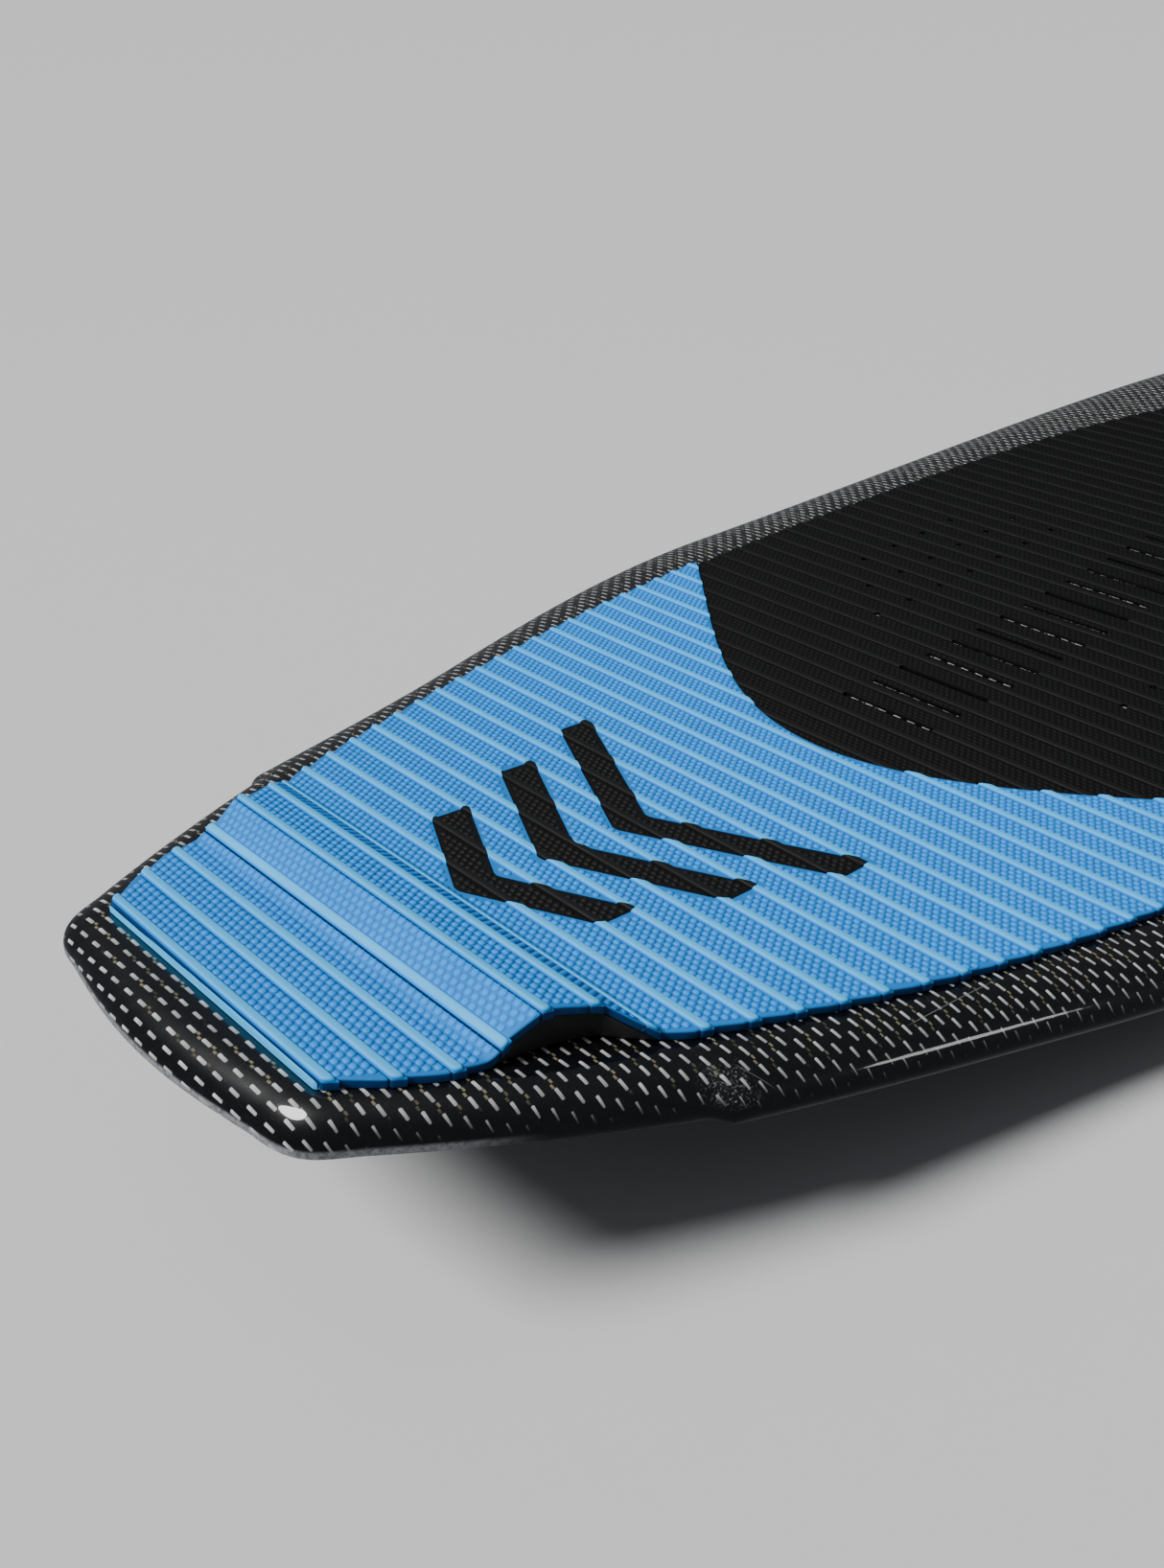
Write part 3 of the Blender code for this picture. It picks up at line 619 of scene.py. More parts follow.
def slot_outline(tail, steps=7):
    """A long slot across the board with a round hole at each end."""
    lip = math.asin(SLOT_HALF_WIDTH / HOLE_RADIUS)
    points = []
    for sign in (1, -1):
        for i in range(2 * steps + 1):
            a = sign * math.pi / 2 + (math.pi - lip) * (i / steps - 1)
            points.append((tail + HOLE_RADIUS * math.cos(a), sign * SLOT_REACH + HOLE_RADIUS * math.sin(a)))
    return points


def front_openings():
    shapes = [slot_outline(SLOT_FIRST + i * SLOT_PITCH) for i in range(SLOT_COUNT)]
    for y, first, count in HOLE_ROWS:
        for i in range(count):
            shapes += [circle(first + i * HOLE_PITCH, side * y, HOLE_RADIUS) for side in (1, -1)]
    return prism("openings", shapes, *THROUGH)


def pad_piece(name, start, end, cuts, keep_dome, thick=PAD, rib_height=RIB_HEIGHT):
    """One pad between two places, cut to shape, with domes at the sites that keep_dome picks."""
    mesh = carved(sheet_mesh(name, start, end, thick, rib_height), *cuts)
    if keep_dome is not None:
        sites = dome_sites(start, end)
        place = np.column_stack([tail_at(sites[:, 0]), sites[:, 1]])
        inside = pad_half(place[:, 0]) - np.abs(place[:, 1]) > DOME_MARGIN
        mesh = with_domes(mesh, sites[inside & keep_dome(place)])
    mark_sheet(mesh)
    mesh.shade_smooth()
    mesh.set_sharp_from_angle(angle=CREASE)
    return to_x(mesh)


# ---------------------------------------------------------------- shader helpers


class Nodes:
    """A short way to write node trees: each call adds a node and returns its output."""

    def __init__(self, tree):
        self.tree = tree

    def add(self, kind, **values):
        node = self.tree.nodes.new(kind)
        for key, value in values.items():
            setattr(node, key, value)
        return node

    def feed(self, socket, value):
        if isinstance(value, bpy.types.NodeSocket):
            self.tree.links.new(value, socket)
        else:
            socket.default_value = value

    def math(self, operation, a, b=0.0, c=0.0):
        node = self.add("ShaderNodeMath", operation=operation)
        for socket, value in zip(node.inputs, (a, b, c)):
            self.feed(socket, value)
        return node.outputs[0]

    def times(self, a, b):
        return self.math("MULTIPLY", a, b)

    def times_plus(self, a, b, c):
        return self.math("MULTIPLY_ADD", a, b, c)

    def plus(self, a, b):
        return self.math("ADD", a, b)

    def minus(self, a, b):
        return self.math("SUBTRACT", a, b)

    def over(self, a, b):
        return self.math("DIVIDE", a, b)

    def larger(self, a, b):
        return self.math("MAXIMUM", a, b)

    def distance(self, a):
        return self.math("ABSOLUTE", a)

    def floor(self, a):
        return self.math("FLOOR", a)

    def odd(self, a):
        """1 for an odd whole number, 0 for an even one."""
        return self.math("FLOORED_MODULO", a, 2.0)

    def centred(self, turns, pitch):
        """Distance from the middle of a repeat that is one pitch long."""
        return self.times(self.minus(self.math("FRACT", turns), 0.5), pitch)

    def fade(self, value, low, high, start=0.0, end=1.0):
        """Smooth step from start to end as value goes from low to high."""
        node = self.add("ShaderNodeMapRange", interpolation_type="SMOOTHSTEP")
        names = ("Value", "From Min", "From Max", "To Min", "To Max")
        for key, v in zip(names, (value, low, high, start, end)):
            self.feed(node.inputs[key], v)
        return node.outputs["Result"]

    def mix(self, share, a, b):
        node = self.add("ShaderNodeMix", data_type="RGBA")
        self.feed(node.inputs[0], share)
        self.feed(node.inputs[6], a)
        self.feed(node.inputs[7], b)
        return node.outputs[2]

    def vector(self, x, y, z=0.0):
        node = self.add("ShaderNodeCombineXYZ")
        for socket, value in zip(node.inputs, (x, y, z)):
            self.feed(socket, value)
        return node.outputs[0]

    def split(self, vector):
        node = self.add("ShaderNodeSeparateXYZ")
        self.feed(node.inputs[0], vector)
        return node.outputs[0], node.outputs[1], node.outputs[2]

    def noise(self, vector, scale, detail=2.0, roughness=0.5):
        node = self.add("ShaderNodeTexNoise")
        self.feed(node.inputs["Vector"], vector)
        self.feed(node.inputs["Scale"], scale)
        self.feed(node.inputs["Detail"], detail)
        self.feed(node.inputs["Roughness"], roughness)
        return node.outputs["Fac"]

    def random(self, vector):
        node = self.add("ShaderNodeTexWhiteNoise", noise_dimensions="3D")
        self.feed(node.inputs["Vector"], vector)
        return node.outputs["Value"]

    def bump(self, height, distance, strength=1.0, normal=None):
        node = self.add("ShaderNodeBump")
        self.feed(node.inputs["Height"], height)
        self.feed(node.inputs["Distance"], distance)
        self.feed(node.inputs["Strength"], strength)
        if normal is not None:
            self.feed(node.inputs["Normal"], normal)
        return node.outputs["Normal"]

    def uv(self, name):
        return self.split(self.add("ShaderNodeUVMap", uv_map=name).outputs[0])

    def attribute(self, name):
        node = self.add("ShaderNodeAttribute", attribute_name=name)
        return self.split(node.outputs["Vector"])

    def position(self):
        return self.add("ShaderNodeTexCoord").outputs["Object"]


def shader(name):
    """A new material with a Principled shader; returns (material, helper, shader)."""
    m = bpy.data.materials.new(name)
    m.use_nodes = True
    return m, Nodes(m.node_tree), m.node_tree.nodes["Principled BSDF"]


# ---------------------------------------------------------------- materials

MM = 1000.0
# Tracer threads in the weave, in millimetres: pale floats across the board in staggered columns, and
# pairs of short olive dashes that swing from side to side between the floats of a column
FLOAT_COLUMN, FLOAT_REPEAT = 5.2, 9.3
FLOAT_HALF_WIDTH, FLOAT_HALF_LENGTH = 0.70, 2.35
DASH_AT, DASH_HALF_LENGTH, DASH_SWING, DASH_HALF_WIDTH = 1.00, 0.85, 0.50, 0.50
TOW = 2.1
SCRATCHES = (
    ((0.2198, -0.1622), (0.2789, -0.1695), 0.00022),
    ((0.150, -0.137), (0.157, -0.153), 0.00016),
)                                                # start, end (distance from the tail, y) and half-width


def drifted(n, u, v, amount=0.9):
    """Cloth coordinates in millimetres, pulled a little out of true."""
    u, v = n.times(u, MM), n.times(v, MM)
    first = n.noise(n.vector(u, v), 0.03, 1.0)
    second = n.noise(n.vector(v, u, 3.0), 0.03, 1.0)
    return (n.times_plus(first, amount, u), n.times_plus(second, amount, v))


def float_places(n, u, v):
    """Column number, distance from the column's middle, and place in repeats along it, columns staggered."""
    column = n.over(u, FLOAT_COLUMN)
    number = n.floor(column)
    return number, n.centred(column, FLOAT_COLUMN), n.times_plus(n.odd(number), 0.5, n.over(v, FLOAT_REPEAT))


def pale_floats(n, u, v, side):
    """Mask and brightness of the floats; on the rail's side they show narrower."""
    number, across, repeat = float_places(n, u, v)
    wide = n.distance(across)
    chance = n.random(n.vector(number, n.floor(repeat), 1.0))
    along = n.times_plus(n.minus(chance, 0.5), 0.6, n.centred(repeat, FLOAT_REPEAT))
    long = n.distance(along)
    half_width = n.times_plus(side, FLOAT_HALF_WIDTH * 0.5, FLOAT_HALF_WIDTH * 0.5)
    over_side = n.minus(wide, half_width)
    over_end = n.minus(n.times_plus(wide, 0.35, long), FLOAT_HALF_LENGTH)
    mask = n.times(n.fade(over_side, 0.10, -0.12), n.fade(over_end, 0.22, -0.12))
    strands = n.noise(n.vector(n.times(u, 5.5), n.times(v, 0.25), chance), 1.0, 2.0)
    sheen = n.fade(along, -FLOAT_HALF_LENGTH, FLOAT_HALF_LENGTH, 0.55, 1.0)
    bright = n.times(sheen, n.fade(strands, 0.25, 0.75, 0.55, 1.0))
    bright = n.times(bright, n.times_plus(chance, 0.40, 0.60))
    return mask, bright


def olive_dashes(n, u, v):
    """Mask of the dashes, two in each gap between floats and not in every gap."""
    number, across, repeat = float_places(n, u, v)
    gap = n.plus(repeat, 0.5)
    along = n.centred(gap, FLOAT_REPEAT)
    swing = n.times(n.math("SIGN", along), DASH_SWING)
    off = n.distance(n.minus(across, swing))
    down = n.distance(n.minus(n.distance(along), DASH_AT))
    shape = n.times(n.fade(off, DASH_HALF_WIDTH + 0.1, DASH_HALF_WIDTH - 0.1),
                   n.fade(down, DASH_HALF_LENGTH + 0.1, DASH_HALF_LENGTH - 0.15))
    some = n.fade(n.random(n.vector(number, n.floor(gap), 5.0)), 0.20, 0.45)
    band = n.vector(n.times(number, 0.9), n.times(v, 0.012))
    patch = n.fade(n.noise(band, 1.0, 1.0), 0.40, 0.54)
    return n.times(n.times(shape, some), patch)


def dark_weave(n, u, v):
    """Nearly black tows in a twill, each with its own fine fibres; the lighter fibres on the tows of one
    direction are a painted reflection.
    """
    turn = n.plus(n.floor(n.over(u, TOW)), n.floor(n.over(v, TOW)))
    twill = n.math("LESS_THAN", n.math("FLOORED_MODULO", turn, 4.0), 2.0)
    across = n.noise(n.vector(n.times(u, 0.3), n.times(v, 5.2)), 1.0, 2.0)
    along = n.noise(n.vector(n.times(u, 5.2), n.times(v, 0.3)), 1.0, 2.0)
    fibre = n.times_plus(n.minus(across, along), twill, along)
    colour = n.mix(n.fade(fibre, 0.40, 0.85), (0.0008, 0.0009, 0.0013, 1), (0.0075, 0.0080, 0.0115, 1))
    # Painted reflection: the tows of the other direction are kept darker.
    return n.mix(n.times(twill, 0.7), colour, (0.0012, 0.0012, 0.0017, 1)), twill


def scratch(n, tail, y, start, end, width):
    """Mask of one fine scratch between two places on the deck, given as (distance from the tail, y)."""
    ax, ay = start
    dx, dy = end[0] - ax, end[1] - ay
    length = math.hypot(dx, dy)
    rx, ry = n.minus(tail, ax), n.minus(y, ay)
    along = n.plus(n.times(rx, dx / length), n.times(ry, dy / length))
    off = n.minus(n.times(rx, dy / length), n.times(ry, dx / length))
    bow = n.times(n.times(along, n.minus(along, length)), 0.25)
    near = n.fade(n.distance(n.minus(off, bow)), width, width * 0.3)
    ends = n.times(n.fade(along, 0.0, length * 0.2), n.fade(along, length, length * 0.7))
    return n.times(near, ends)


def carbon_material():
    """Clear-coated woven carbon with tracer threads, worn at the tail's bottom edge and at the wing; a painted
    reflection lightens the tows of one direction, and painted shade fades the tracer out down the rail.
    """
    m, n, s = shader("carbon_weave")
    cloth_u, cloth_v, _ = n.uv("weave")
    tail, height, _ = n.uv("rail")
    u, v = drifted(n, cloth_u, cloth_v)
    side = n.larger(n.fade(height, 0.45, 0.85), n.fade(tail, 0.034, 0.008, 0.0, 0.8))
    colour, twill = dark_weave(n, u, v)
    # Painted shade: the dashes fade out down the rail, where it turns from the light.
    dashes = n.times(olive_dashes(n, u, v), n.fade(height, 0.70, 0.90))
    colour = n.mix(dashes, colour, (0.190, 0.175, 0.105, 1))
    mask, bright = pale_floats(n, u, v, side)
    white = n.mix(bright, (0.05, 0.05, 0.052, 1), (0.80, 0.80, 0.79, 1))
    # Painted shade: the floats fade out down the rail, where it turns from the light, except round the tail.
    round_tail = n.fade(tail, 0.034, 0.008)
    floats_faded_by_painted_shade = n.times(mask, n.larger(n.fade(height, 0.25, 0.94, 0.0, 1.0), round_tail))
    colour = n.mix(floats_faded_by_painted_shade, colour, white)

    speckle = n.noise(n.vector(u, v), 0.45, 4.0, 0.7)
    edge = n.times(n.fade(height, 0.26, 0.14), n.fade(tail, 0.085, 0.045))
    edge = n.times(edge, n.fade(speckle, 0.30, 0.60, 0.35, 1.0))
    scuff_place = n.times(n.fade(n.distance(n.minus(tail, WING_FULL)), 0.012, 0.002),
                         n.times(n.fade(height, 0.30, 0.50), n.fade(height, 0.97, 0.80)))
    scuff = n.times(scuff_place, n.fade(n.noise(n.vector(u, v), 0.8, 5.0, 0.8), 0.54, 0.62))
    wear = n.larger(edge, n.times(scuff, 0.6))
    colour = n.mix(n.times(wear, 0.8), colour, (0.30, 0.31, 0.33, 1))
    marks = n.larger(scratch(n, cloth_u, cloth_v, *SCRATCHES[0]), scratch(n, cloth_u, cloth_v, *SCRATCHES[1]))
    colour = n.mix(n.times(marks, 0.7), colour, (0.22, 0.22, 0.24, 1))
    n.feed(s.inputs["Base Color"], colour)
    rough = n.times_plus(n.noise(n.vector(u, v), 0.09, 3.0), 0.12, 0.34)
    n.feed(s.inputs["Roughness"], n.times_plus(wear, 0.3, rough))
    s.inputs["Specular IOR Level"].default_value = 0.12
    s.inputs["Coat Weight"].default_value = 1.0
    s.inputs["Coat Roughness"].default_value = 0.05
    s.inputs["Coat IOR"].default_value = 1.5
    ripple = n.bump(n.noise(n.vector(u, v), 0.06, 2.0), 0.00022, 0.35)
    relief_height = n.plus(n.times(mask, 0.6), n.times(twill, 0.4))
    n.feed(s.inputs["Normal"], n.bump(relief_height, 0.00006, 0.5, ripple))
    scored = n.larger(marks, n.times(scuff, 0.8))
    n.feed(s.inputs["Coat Normal"], n.bump(scored, 0.00010, 0.8, ripple))
    return m


def dome_height(n, run, y):
    """Height pattern of the small domes, for a sheet that carries them in its finish."""
    rows = n.over(n.times_plus(n.math("FRACT", n.over(run, PITCH)), PITCH, -RIB_HALF), ROW_PITCH)
    in_field = n.times(n.math("GREATER_THAN", rows, 0.0), n.math("LESS_THAN", rows, float(DOME_ROWS)))
    along = n.centred(rows, ROW_PITCH)
    places = n.times_plus(n.odd(n.floor(rows)), -0.5, n.over(y, DOME_PITCH))
    across = n.centred(n.plus(places, 0.5), DOME_PITCH)
    radius = n.over(n.math("SQRT", n.plus(n.times(along, along), n.times(across, across))), DOME_RADIUS)
    return n.times(n.larger(n.minus(1.0, n.times(radius, radius)), 0.0), in_field)


def eva_material(name, field, rib, side, bumpy, thick=PAD, rib_height=RIB_HEIGHT):
    """Closed-cell EVA: smoother ribs in a lighter colour that is a painted sheen, a matt field darker where it
    lies low as painted shade, and a cut edge of open cells, its dark colour a painted shade.
    """
    m, n, s = shader(name)
    run, y, over = n.attribute("sheet")
    where = n.vector(run, y, over)
    grain = n.noise(where, 2600.0, 3.0, 0.65)
    blotch = n.noise(where, 60.0, 3.0, 0.6)
    from_rib = n.distance(n.centred(n.plus(n.over(run, PITCH), 0.5), PITCH * MM))
    beside = n.fade(from_rib, RIB_HALF * MM + 0.1, RIB_HALF * MM - 0.5)
    on_rib = n.times(beside, n.fade(over, thick - 0.7 * rib_height, thick - 0.3 * rib_height))
    base = thick - rib_height
    # Painted shade: the field is darker where it lies low, as between the domes.
    low = tuple(c * 0.66 for c in field[:3]) + (1,)
    colour = n.mix(n.fade(over, base + 0.00004, base + 0.00026), low, field)
    # Painted sheen: the rib tops take the lighter rib colour.
    colour = n.mix(on_rib, colour, rib)
    # Painted shade: cut sides, cuts and the torn crack take the dark side colour.
    cut_side = n.fade(over, base - 0.0003, base - 0.0009)
    colour = n.mix(cut_side, colour, side)
    # Painted light: the strip aft of the last rib, its face lit, takes the lighter rib colour.
    strip_end = float(run_at(STRIP_END))
    colour = n.mix(n.fade(run, strip_end - 0.0001, strip_end - 0.0004), colour, rib)
    shade = n.times(n.plus(grain, blotch), 0.5)
    dim = n.mix(0.5, colour, (0, 0, 0, 1))
    colour = n.mix(n.fade(shade, 0.3, 0.7, 0.22, 0.0), colour, dim)
    n.feed(s.inputs["Base Color"], colour)
    n.feed(s.inputs["Roughness"], n.fade(shade, 0.3, 0.7, 0.72, 0.56))
    s.inputs["Specular IOR Level"].default_value = 0.16
    normal = n.bump(grain, 0.00012, 0.5)
    if bumpy:
        on_top = n.times(dome_height(n, run, y), n.fade(cut_side, 1.0, 0.0))
        normal = n.bump(on_top, DOME_HEIGHT, 1.0, normal)
    n.feed(s.inputs["Normal"], normal)
    return m


def plain_material(name, colour, roughness, metallic=0.0, grain_scale=900.0, grain=0.00008, vary=0.25,
                   coat=0.0):
    """A moulded or machined surface: fine grain, with some unevenness of colour and gloss."""
    m, n, s = shader(name)
    where = n.position()
    fine = n.noise(where, grain_scale, 3.0, 0.6)
    broad = n.noise(where, 35.0, 3.0, 0.6)
    darker = tuple(c * (1 - vary) for c in colour) + (1,)
    n.feed(s.inputs["Base Color"], n.mix(broad, darker, (*colour, 1)))
    n.feed(s.inputs["Roughness"], n.fade(fine, 0.2, 0.8, roughness * 0.85, min(1.0, roughness * 1.15)))
    s.inputs["Metallic"].default_value = metallic
    s.inputs["Coat Weight"].default_value = coat
    n.feed(s.inputs["Normal"], n.bump(fine, grain, 0.4))
    return m


CARBON = carbon_material()
BLUES = ((0.012, 0.310, 0.930, 1), (0.060, 0.510, 1.000, 1), (0.004, 0.042, 0.150, 1))     # field, rib (lighter, a painted sheen), side (darker, a painted shade)
BLACKS = ((0.0032, 0.0032, 0.0036, 1), (0.0060, 0.0060, 0.0064, 1), (0.0025, 0.0025, 0.0028, 1))
BLUE = eva_material("blue_foam", *BLUES, False)
INLAY_BLACK = eva_material("inlay_foam", *BLACKS, False)
BLACK = eva_material("black_foam", *BLACKS, True, FRONT_PAD, FRONT_RIB_HEIGHT)
WEDGE = plain_material("wedge_foam", (0.014, 0.014, 0.015), 0.7, grain_scale=2200.0, grain=0.0002)
BOX_PLASTIC = plain_material("box_plastic", (0.02, 0.02, 0.022), 0.45, grain_scale=2500.0)
FIN_COMPOSITE = plain_material("fin_composite", (0.012, 0.013, 0.015), 0.3, coat=0.6)
STEEL = plain_material("turned_steel", (0.60, 0.60, 0.61), 0.28, metallic=1.0)
RUBBER = plain_material("seal_rubber", (0.012, 0.012, 0.012), 0.65)
CORE_FOAM = plain_material("core_foam", (0.86, 0.87, 0.84), 0.85, grain_scale=700.0, grain=0.0004)
DENSE_FOAM = plain_material("dense_foam", (0.80, 0.66, 0.38), 0.8, grain_scale=900.0, grain=0.0003)

# ---------------------------------------------------------------- fins and what they sit in


def slope(line, tail, step=0.002):
    return (line(tail + step) - line(tail - step)) / (2 * step)


def fin_place(side):
    """Frame on the bottom face: +X forward along the fin, +Z into the board."""
    tail, y = FIN_SPOTS[side]
    toe = 0.0 if side == "centre" else -math.copysign(TOE_IN, y)
    pitch = -math.atan(slope(bottom, tail))
    turn = Matrix.Rotation(toe, 4, "Z") @ Matrix.Rotation(pitch, 4, "Y")
    return Matrix.Translation((tail - LENGTH / 2, y, float(bottom(tail)))) @ turn


def rounded_box(length, width, radius, grow=0.0, steps=6):
    points = []
    for cx, cy, start in ((1, 1, 0), (-1, 1, 1), (-1, -1, 2), (1, -1, 3)):
        for i in range(steps + 1):
            a = math.pi / 2 * (start + i / steps)
            points.append((cx * (length / 2 - radius) + (radius + grow) * math.cos(a),
                           cy * (width / 2 - radius) + (radius + grow) * math.sin(a)))
    return points


def placed(mesh, matrix):
    mesh.transform(matrix)
    return mesh


def blade(name, depth, lean, levels=28, around=40):
    """Foiled blade whose sections get shorter and swing back towards a rounded tip."""
    points = []
    for level in range(levels):
        h = math.sin(math.pi / 2 * level / (levels - 1))
        tip = math.sqrt(max(0.0, 1 - max(0.0, (h - TIP_FROM) / TIP_OVER) ** 2))
        lead = FIN_CHORD / 2 - FIN_CHORD * (LEAD_RAKE * h + LEAD_CURL * h**3)
        trail = -FIN_CHORD / 2 - FIN_CHORD * TRAIL_RAKE * h**2
        chord = (lead - trail) * (TIP_CHORD + (1 - TIP_CHORD) * tip)
        thick = FIN_THICK * (1 - FIN_TAPER * h) * (TIP_THICK + (1 - TIP_THICK) * tip)
        for i in range(around):
            a = 2 * math.pi * i / around
            along = (1 + math.cos(a)) / 2
            fat = thick / 2 * math.sin(a) * (FIN_EDGE + (1 - FIN_EDGE) * math.sqrt(along))
            points.append((trail + chord * along, fat + math.tan(lean) * depth * h, -GAP - depth * h))
    return outward(grid_mesh(name, points, tube_faces(levels, around)))


def fin_mesh(side):
    depth = CENTRE_DEPTH if side == "centre" else FIN_DEPTH
    lean = {"left": CANT, "right": -CANT, "centre": 0.0}[side]
    tab = prism("tab", [rounded_box(TAB_LENGTH, TAB_THICK, TAB_ROUND)], -PAST / 2, TAB_HEIGHT)
    return placed(carved(blade(f"fin_{side}", depth, lean), ("UNION", tab), sharp=35), fin_place(side))


def box_pocket(side):
    outline = rounded_box(BOX_LENGTH, BOX_WIDTH, BOX_ROUND, GAP)
    return placed(prism("pocket", [outline], -PAST, BOX_DEPTH + GAP), fin_place(side))


def vent_hole():
    at = Matrix.Translation((VENT_AT - LENGTH / 2, 0, float(deck(VENT_AT))))
    tilt = Matrix.Rotation(-math.atan(slope(deck, VENT_AT)), 4, "Y")
    return placed(prism("vent", [circle(0, 0, VENT_RADIUS + GAP, 48)], -VENT_DEPTH, PAST), at @ tilt)


# ---------------------------------------------------------------- the shell

outline = spans(OUTLINE)
normals = eased_normals(outline)
top_sheet = solidified(to_x(deck_mesh(outline, normals)), SKIN)
put("shell_deck", carved(top_sheet, ("DIFFERENCE", vent_hole()), sharp=40), "board", "deck_laminate",
    CARBON)
base_sheet = solidified(to_x(bottom_mesh(outline, normals)), SKIN)
box_cuts = [("DIFFERENCE", box_pocket(side)) for side in FIN_SPOTS]
put("shell_bottom", carved(base_sheet, *box_cuts, sharp=40), "board", "bottom_laminate",
    CARBON)
for side in FIN_SPOTS:
    put(f"fin_blade_{side}", fin_mesh(side), f"fin_{side}", f"fin_{side}", FIN_COMPOSITE)

# ---------------------------------------------------------------- the deck pads

chevrons = [chevron(tip, half, 0.0) for tip, half in zip(INLAY_TIPS, INLAY_HALF)]
chevron_pockets = [chevron(tip, half, GAP) for tip, half in zip(INLAY_TIPS, INLAY_HALF)]


def on_blue(place):
    keep = place[:, 0] < seam(np.abs(place[:, 1])) - DOME_MARGIN
    keep &= place[:, 0] > STRIP_END
    for shape in chevron_pockets:
        keep &= distance_to(place, shape) > DOME_MARGIN
    return keep


blue_cuts = [("DIFFERENCE", ahead_of_seam(GAP)), ("DIFFERENCE", prism("pockets", chevron_pockets, *THROUGH))]
blue_mesh = pad_piece("pad_blue", PAD_START, SEAM_REACH[1], blue_cuts, on_blue)
tail_pad = put("pad_blue", blue_mesh, "board", "tail_pad", BLUE)
front_cuts = [("INTERSECT", ahead_of_seam(0.0)), ("DIFFERENCE", front_openings())]
front_mesh = pad_piece("pad_black", SEAM_REACH[0], PAD_OUTLINE[-1][3][0], front_cuts, None, FRONT_PAD,
                       FRONT_RIB_HEIGHT)
front_pad = put("pad_black", front_mesh, "board", "front_pad", BLACK)
for i, shape in enumerate(chevrons, 1):
    xs = [p[0] for p in shape]

    def on_inlay(place, shape=shape):
        return distance_to(place, shape) < -DOME_MARGIN

    keep = [("INTERSECT", prism("shape", [shape], *THROUGH))]
    mesh = pad_piece(f"pad_inlay_{i}", min(xs) - PAST, max(xs) + PAST, keep, on_inlay)
    inlay = put(f"pad_inlay_{i}", mesh, "board", f"inlay_{i}", INLAY_BLACK)

# ---------------------------------------------------------------- the wedge that lifts the sheet into a kick


def wedge_mesh(across=26):
    """Foam under the kick: it follows the deck below and the sheet above, with eased end edges."""
    (first, _), (aft, aft_height), (fore, fore_height), (last, _) = KICK
    start = first + (aft - first) * WEDGE_EDGE / aft_height
    end = last - (last - fore) * WEDGE_EDGE / fore_height
    places = np.unique(np.concatenate([np.linspace(start, end, 40), [aft, fore]]))
    half = np.interp(places, *spans(PAD_OUTLINE).T) - WEDGE_INSET
    rows = []
    for tail, reach in zip(places, half):
        low, high = deck(tail) + GAP, deck(tail) + kick_lift(tail)
        ease = min(WEDGE_ROUND, (high - low) / 3)
        ring = [(reach - ease, low), (reach - ease / 3, low + ease / 4), (reach, low + ease),
                (reach, (low + high) / 2), (reach, high - ease), (reach - ease / 3, high - ease / 4)]
        top = [(reach * (1 - 2 * i / across), high) for i in range(1, across)]
        top = [(reach - ease, high), *top, (ease - reach, high)]
        ring = ring + top + [(-y, z) for y, z in ring[::-1]]
        rows.append([(tail, y, z) for y, z in ring])
    mesh = outward(grid_mesh("wedge", [p for row in rows for p in row], tube_faces(len(rows), len(rows[0]))))
    mesh.set_sharp_from_angle(angle=math.radians(50))
    return to_x(mesh)


wedge = put("wedge_foam", wedge_mesh(), "board", "kick_wedge", WEDGE)

# ---------------------------------------------------------------- carried-over nodes

FINISHES = {
    "foam_core": CORE_FOAM, "insert_": DENSE_FOAM, "fin_box_": BOX_PLASTIC, "grub_screw_": STEEL,
    "vent_plug": BOX_PLASTIC, "vent_screw": STEEL, "vent_o_ring": RUBBER,
}
for name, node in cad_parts.items():
    for start, finish in FINISHES.items():
        if name.startswith(start):
            node.data.materials.clear()
            node.data.materials.append(finish)

# ---------------------------------------------------------------- floor, light and camera

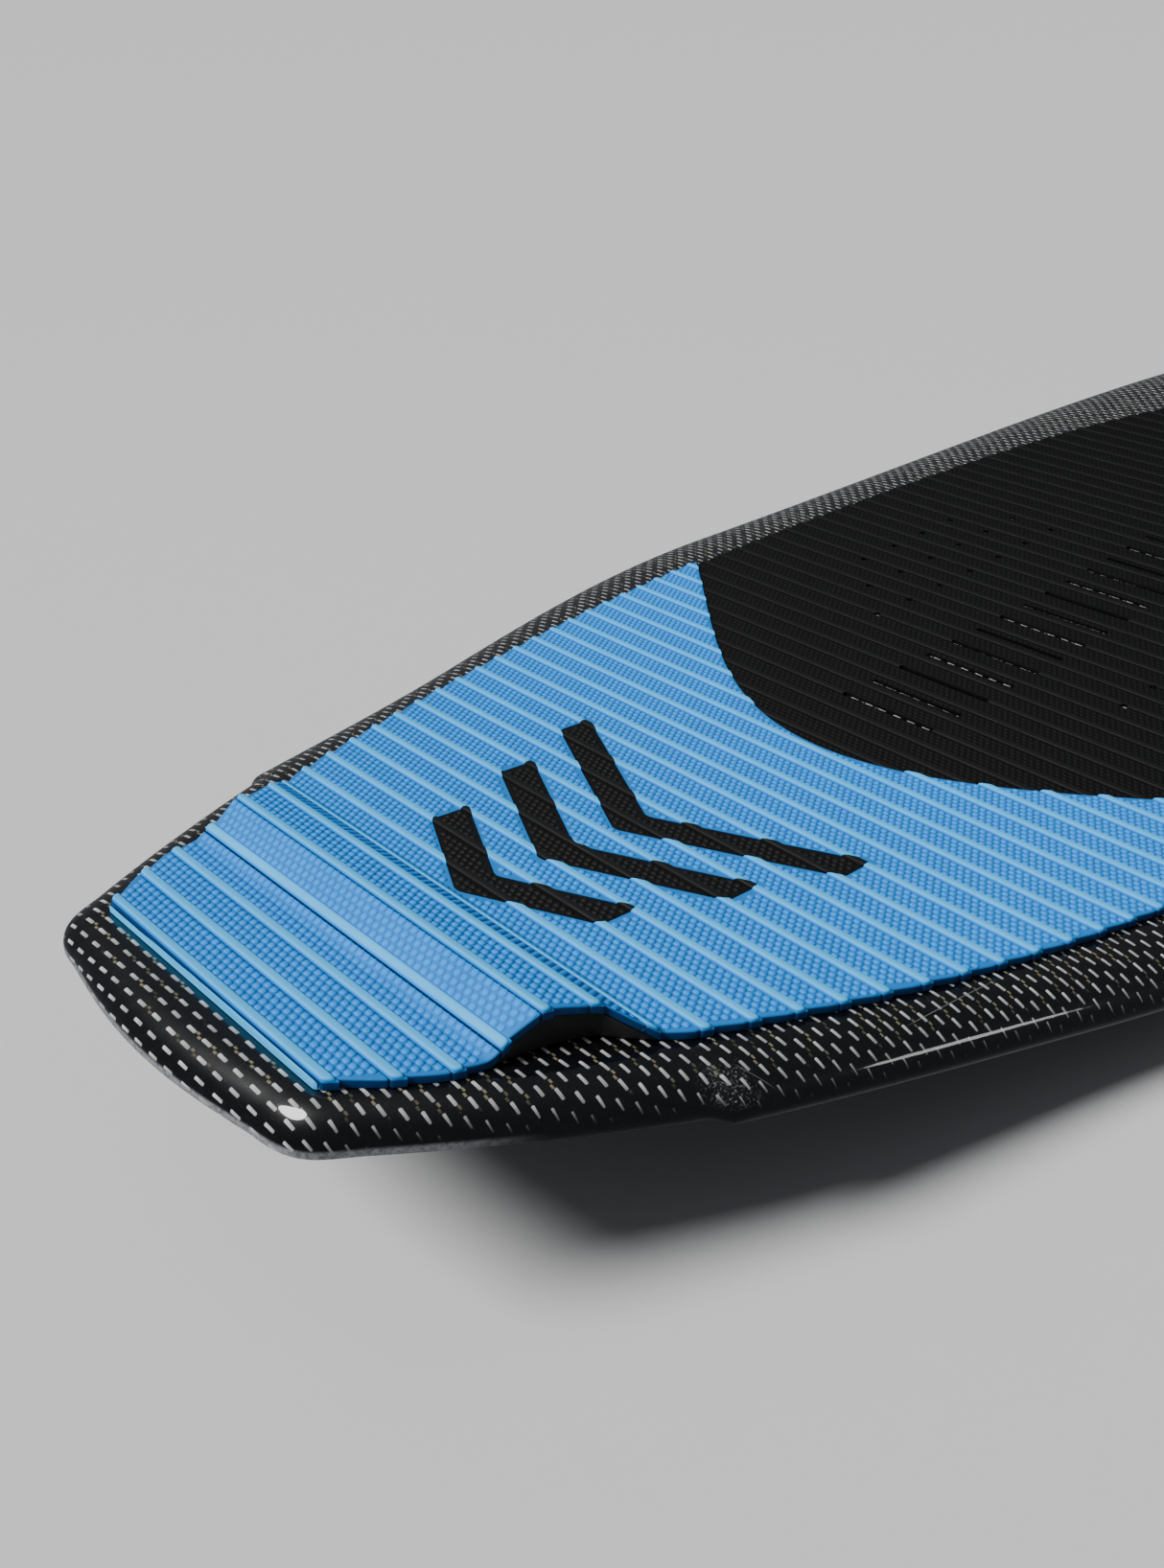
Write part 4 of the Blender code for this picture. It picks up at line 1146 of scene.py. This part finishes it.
FLOOR_REACH, FLOOR_GAP = 30, 0.0005
floor_mesh = bpy.data.meshes.new("floor")
corners = [(x * FLOOR_REACH, y * FLOOR_REACH, -FLOOR_GAP) for x, y in ((-1, -1), (1, -1), (1, 1), (-1, 1))]
floor_mesh.from_pydata(corners, [], [(0, 1, 2, 3)])
floor = linked("floor", floor_mesh)
floor_mesh.materials.append(plain_material("floor", (0.62, 0.62, 0.62), 0.9, vary=0.02, grain=0.0))
floor.visible_glossy = False


def lamp(name, kind, place, aim, power, **settings):
    """A light aimed from one place at another. It lights the object but never shows in a picture itself."""
    data = bpy.data.lights.new(name, kind)
    data.energy = power
    for key, value in settings.items():
        setattr(data, key, value)
    o = linked(name, data)
    o.location = place
    o.rotation_euler = (Vector(aim) - Vector(place)).to_track_quat("-Z", "Y").to_euler()
    o.visible_camera = False
    return o


TAIL_CORNER = (-0.70, -0.07, 0.09)
NEAR_RAIL = (-0.46, -0.175, 0.065)
key = lamp("key", "SUN", (-1.6, 0.9, 2.0), (0, 0, 0), 5.1, angle=math.radians(20))
key.visible_glossy = False
top = lamp("top", "AREA", (-0.99, 0.48, 2.19), TAIL_CORNER, 100, shape="ELLIPSE", size=1.0, size_y=1.2)
streak = lamp("streak", "AREA", (0.62, -1.80, 1.09), NEAR_RAIL, 1.35, shape="ELLIPSE", size=0.30, size_y=0.22)
for glint in (top, streak):
    glint.visible_diffuse = False
world = bpy.data.worlds.new("studio")
world.use_nodes = True
world.node_tree.nodes["Background"].inputs["Color"].default_value = (0.52, 0.55, 0.60, 1)
world.node_tree.nodes["Background"].inputs["Strength"].default_value = 0.24
bpy.context.scene.world = world

CAMERA_AT = Vector((-0.88768, -0.35454, 0.30198))
CAMERA_LOOK = Vector((0.6534, 0.6002, -0.4614))
CAMERA_UP = Vector((0.2724, 0.3823, 0.8830))
CAMERA_LENS = 32.05

camera_data = bpy.data.cameras.new("camera")
camera_data.lens = CAMERA_LENS
camera_data.sensor_width = 36
camera = linked("camera", camera_data)
back = -CAMERA_LOOK.normalized()
right = CAMERA_UP.cross(back).normalized()
up = back.cross(right)
turn = Matrix((right, up, back)).transposed().to_4x4()
camera.matrix_world = STANCE @ Matrix.Translation(CAMERA_AT) @ turn
bpy.context.scene.camera = camera
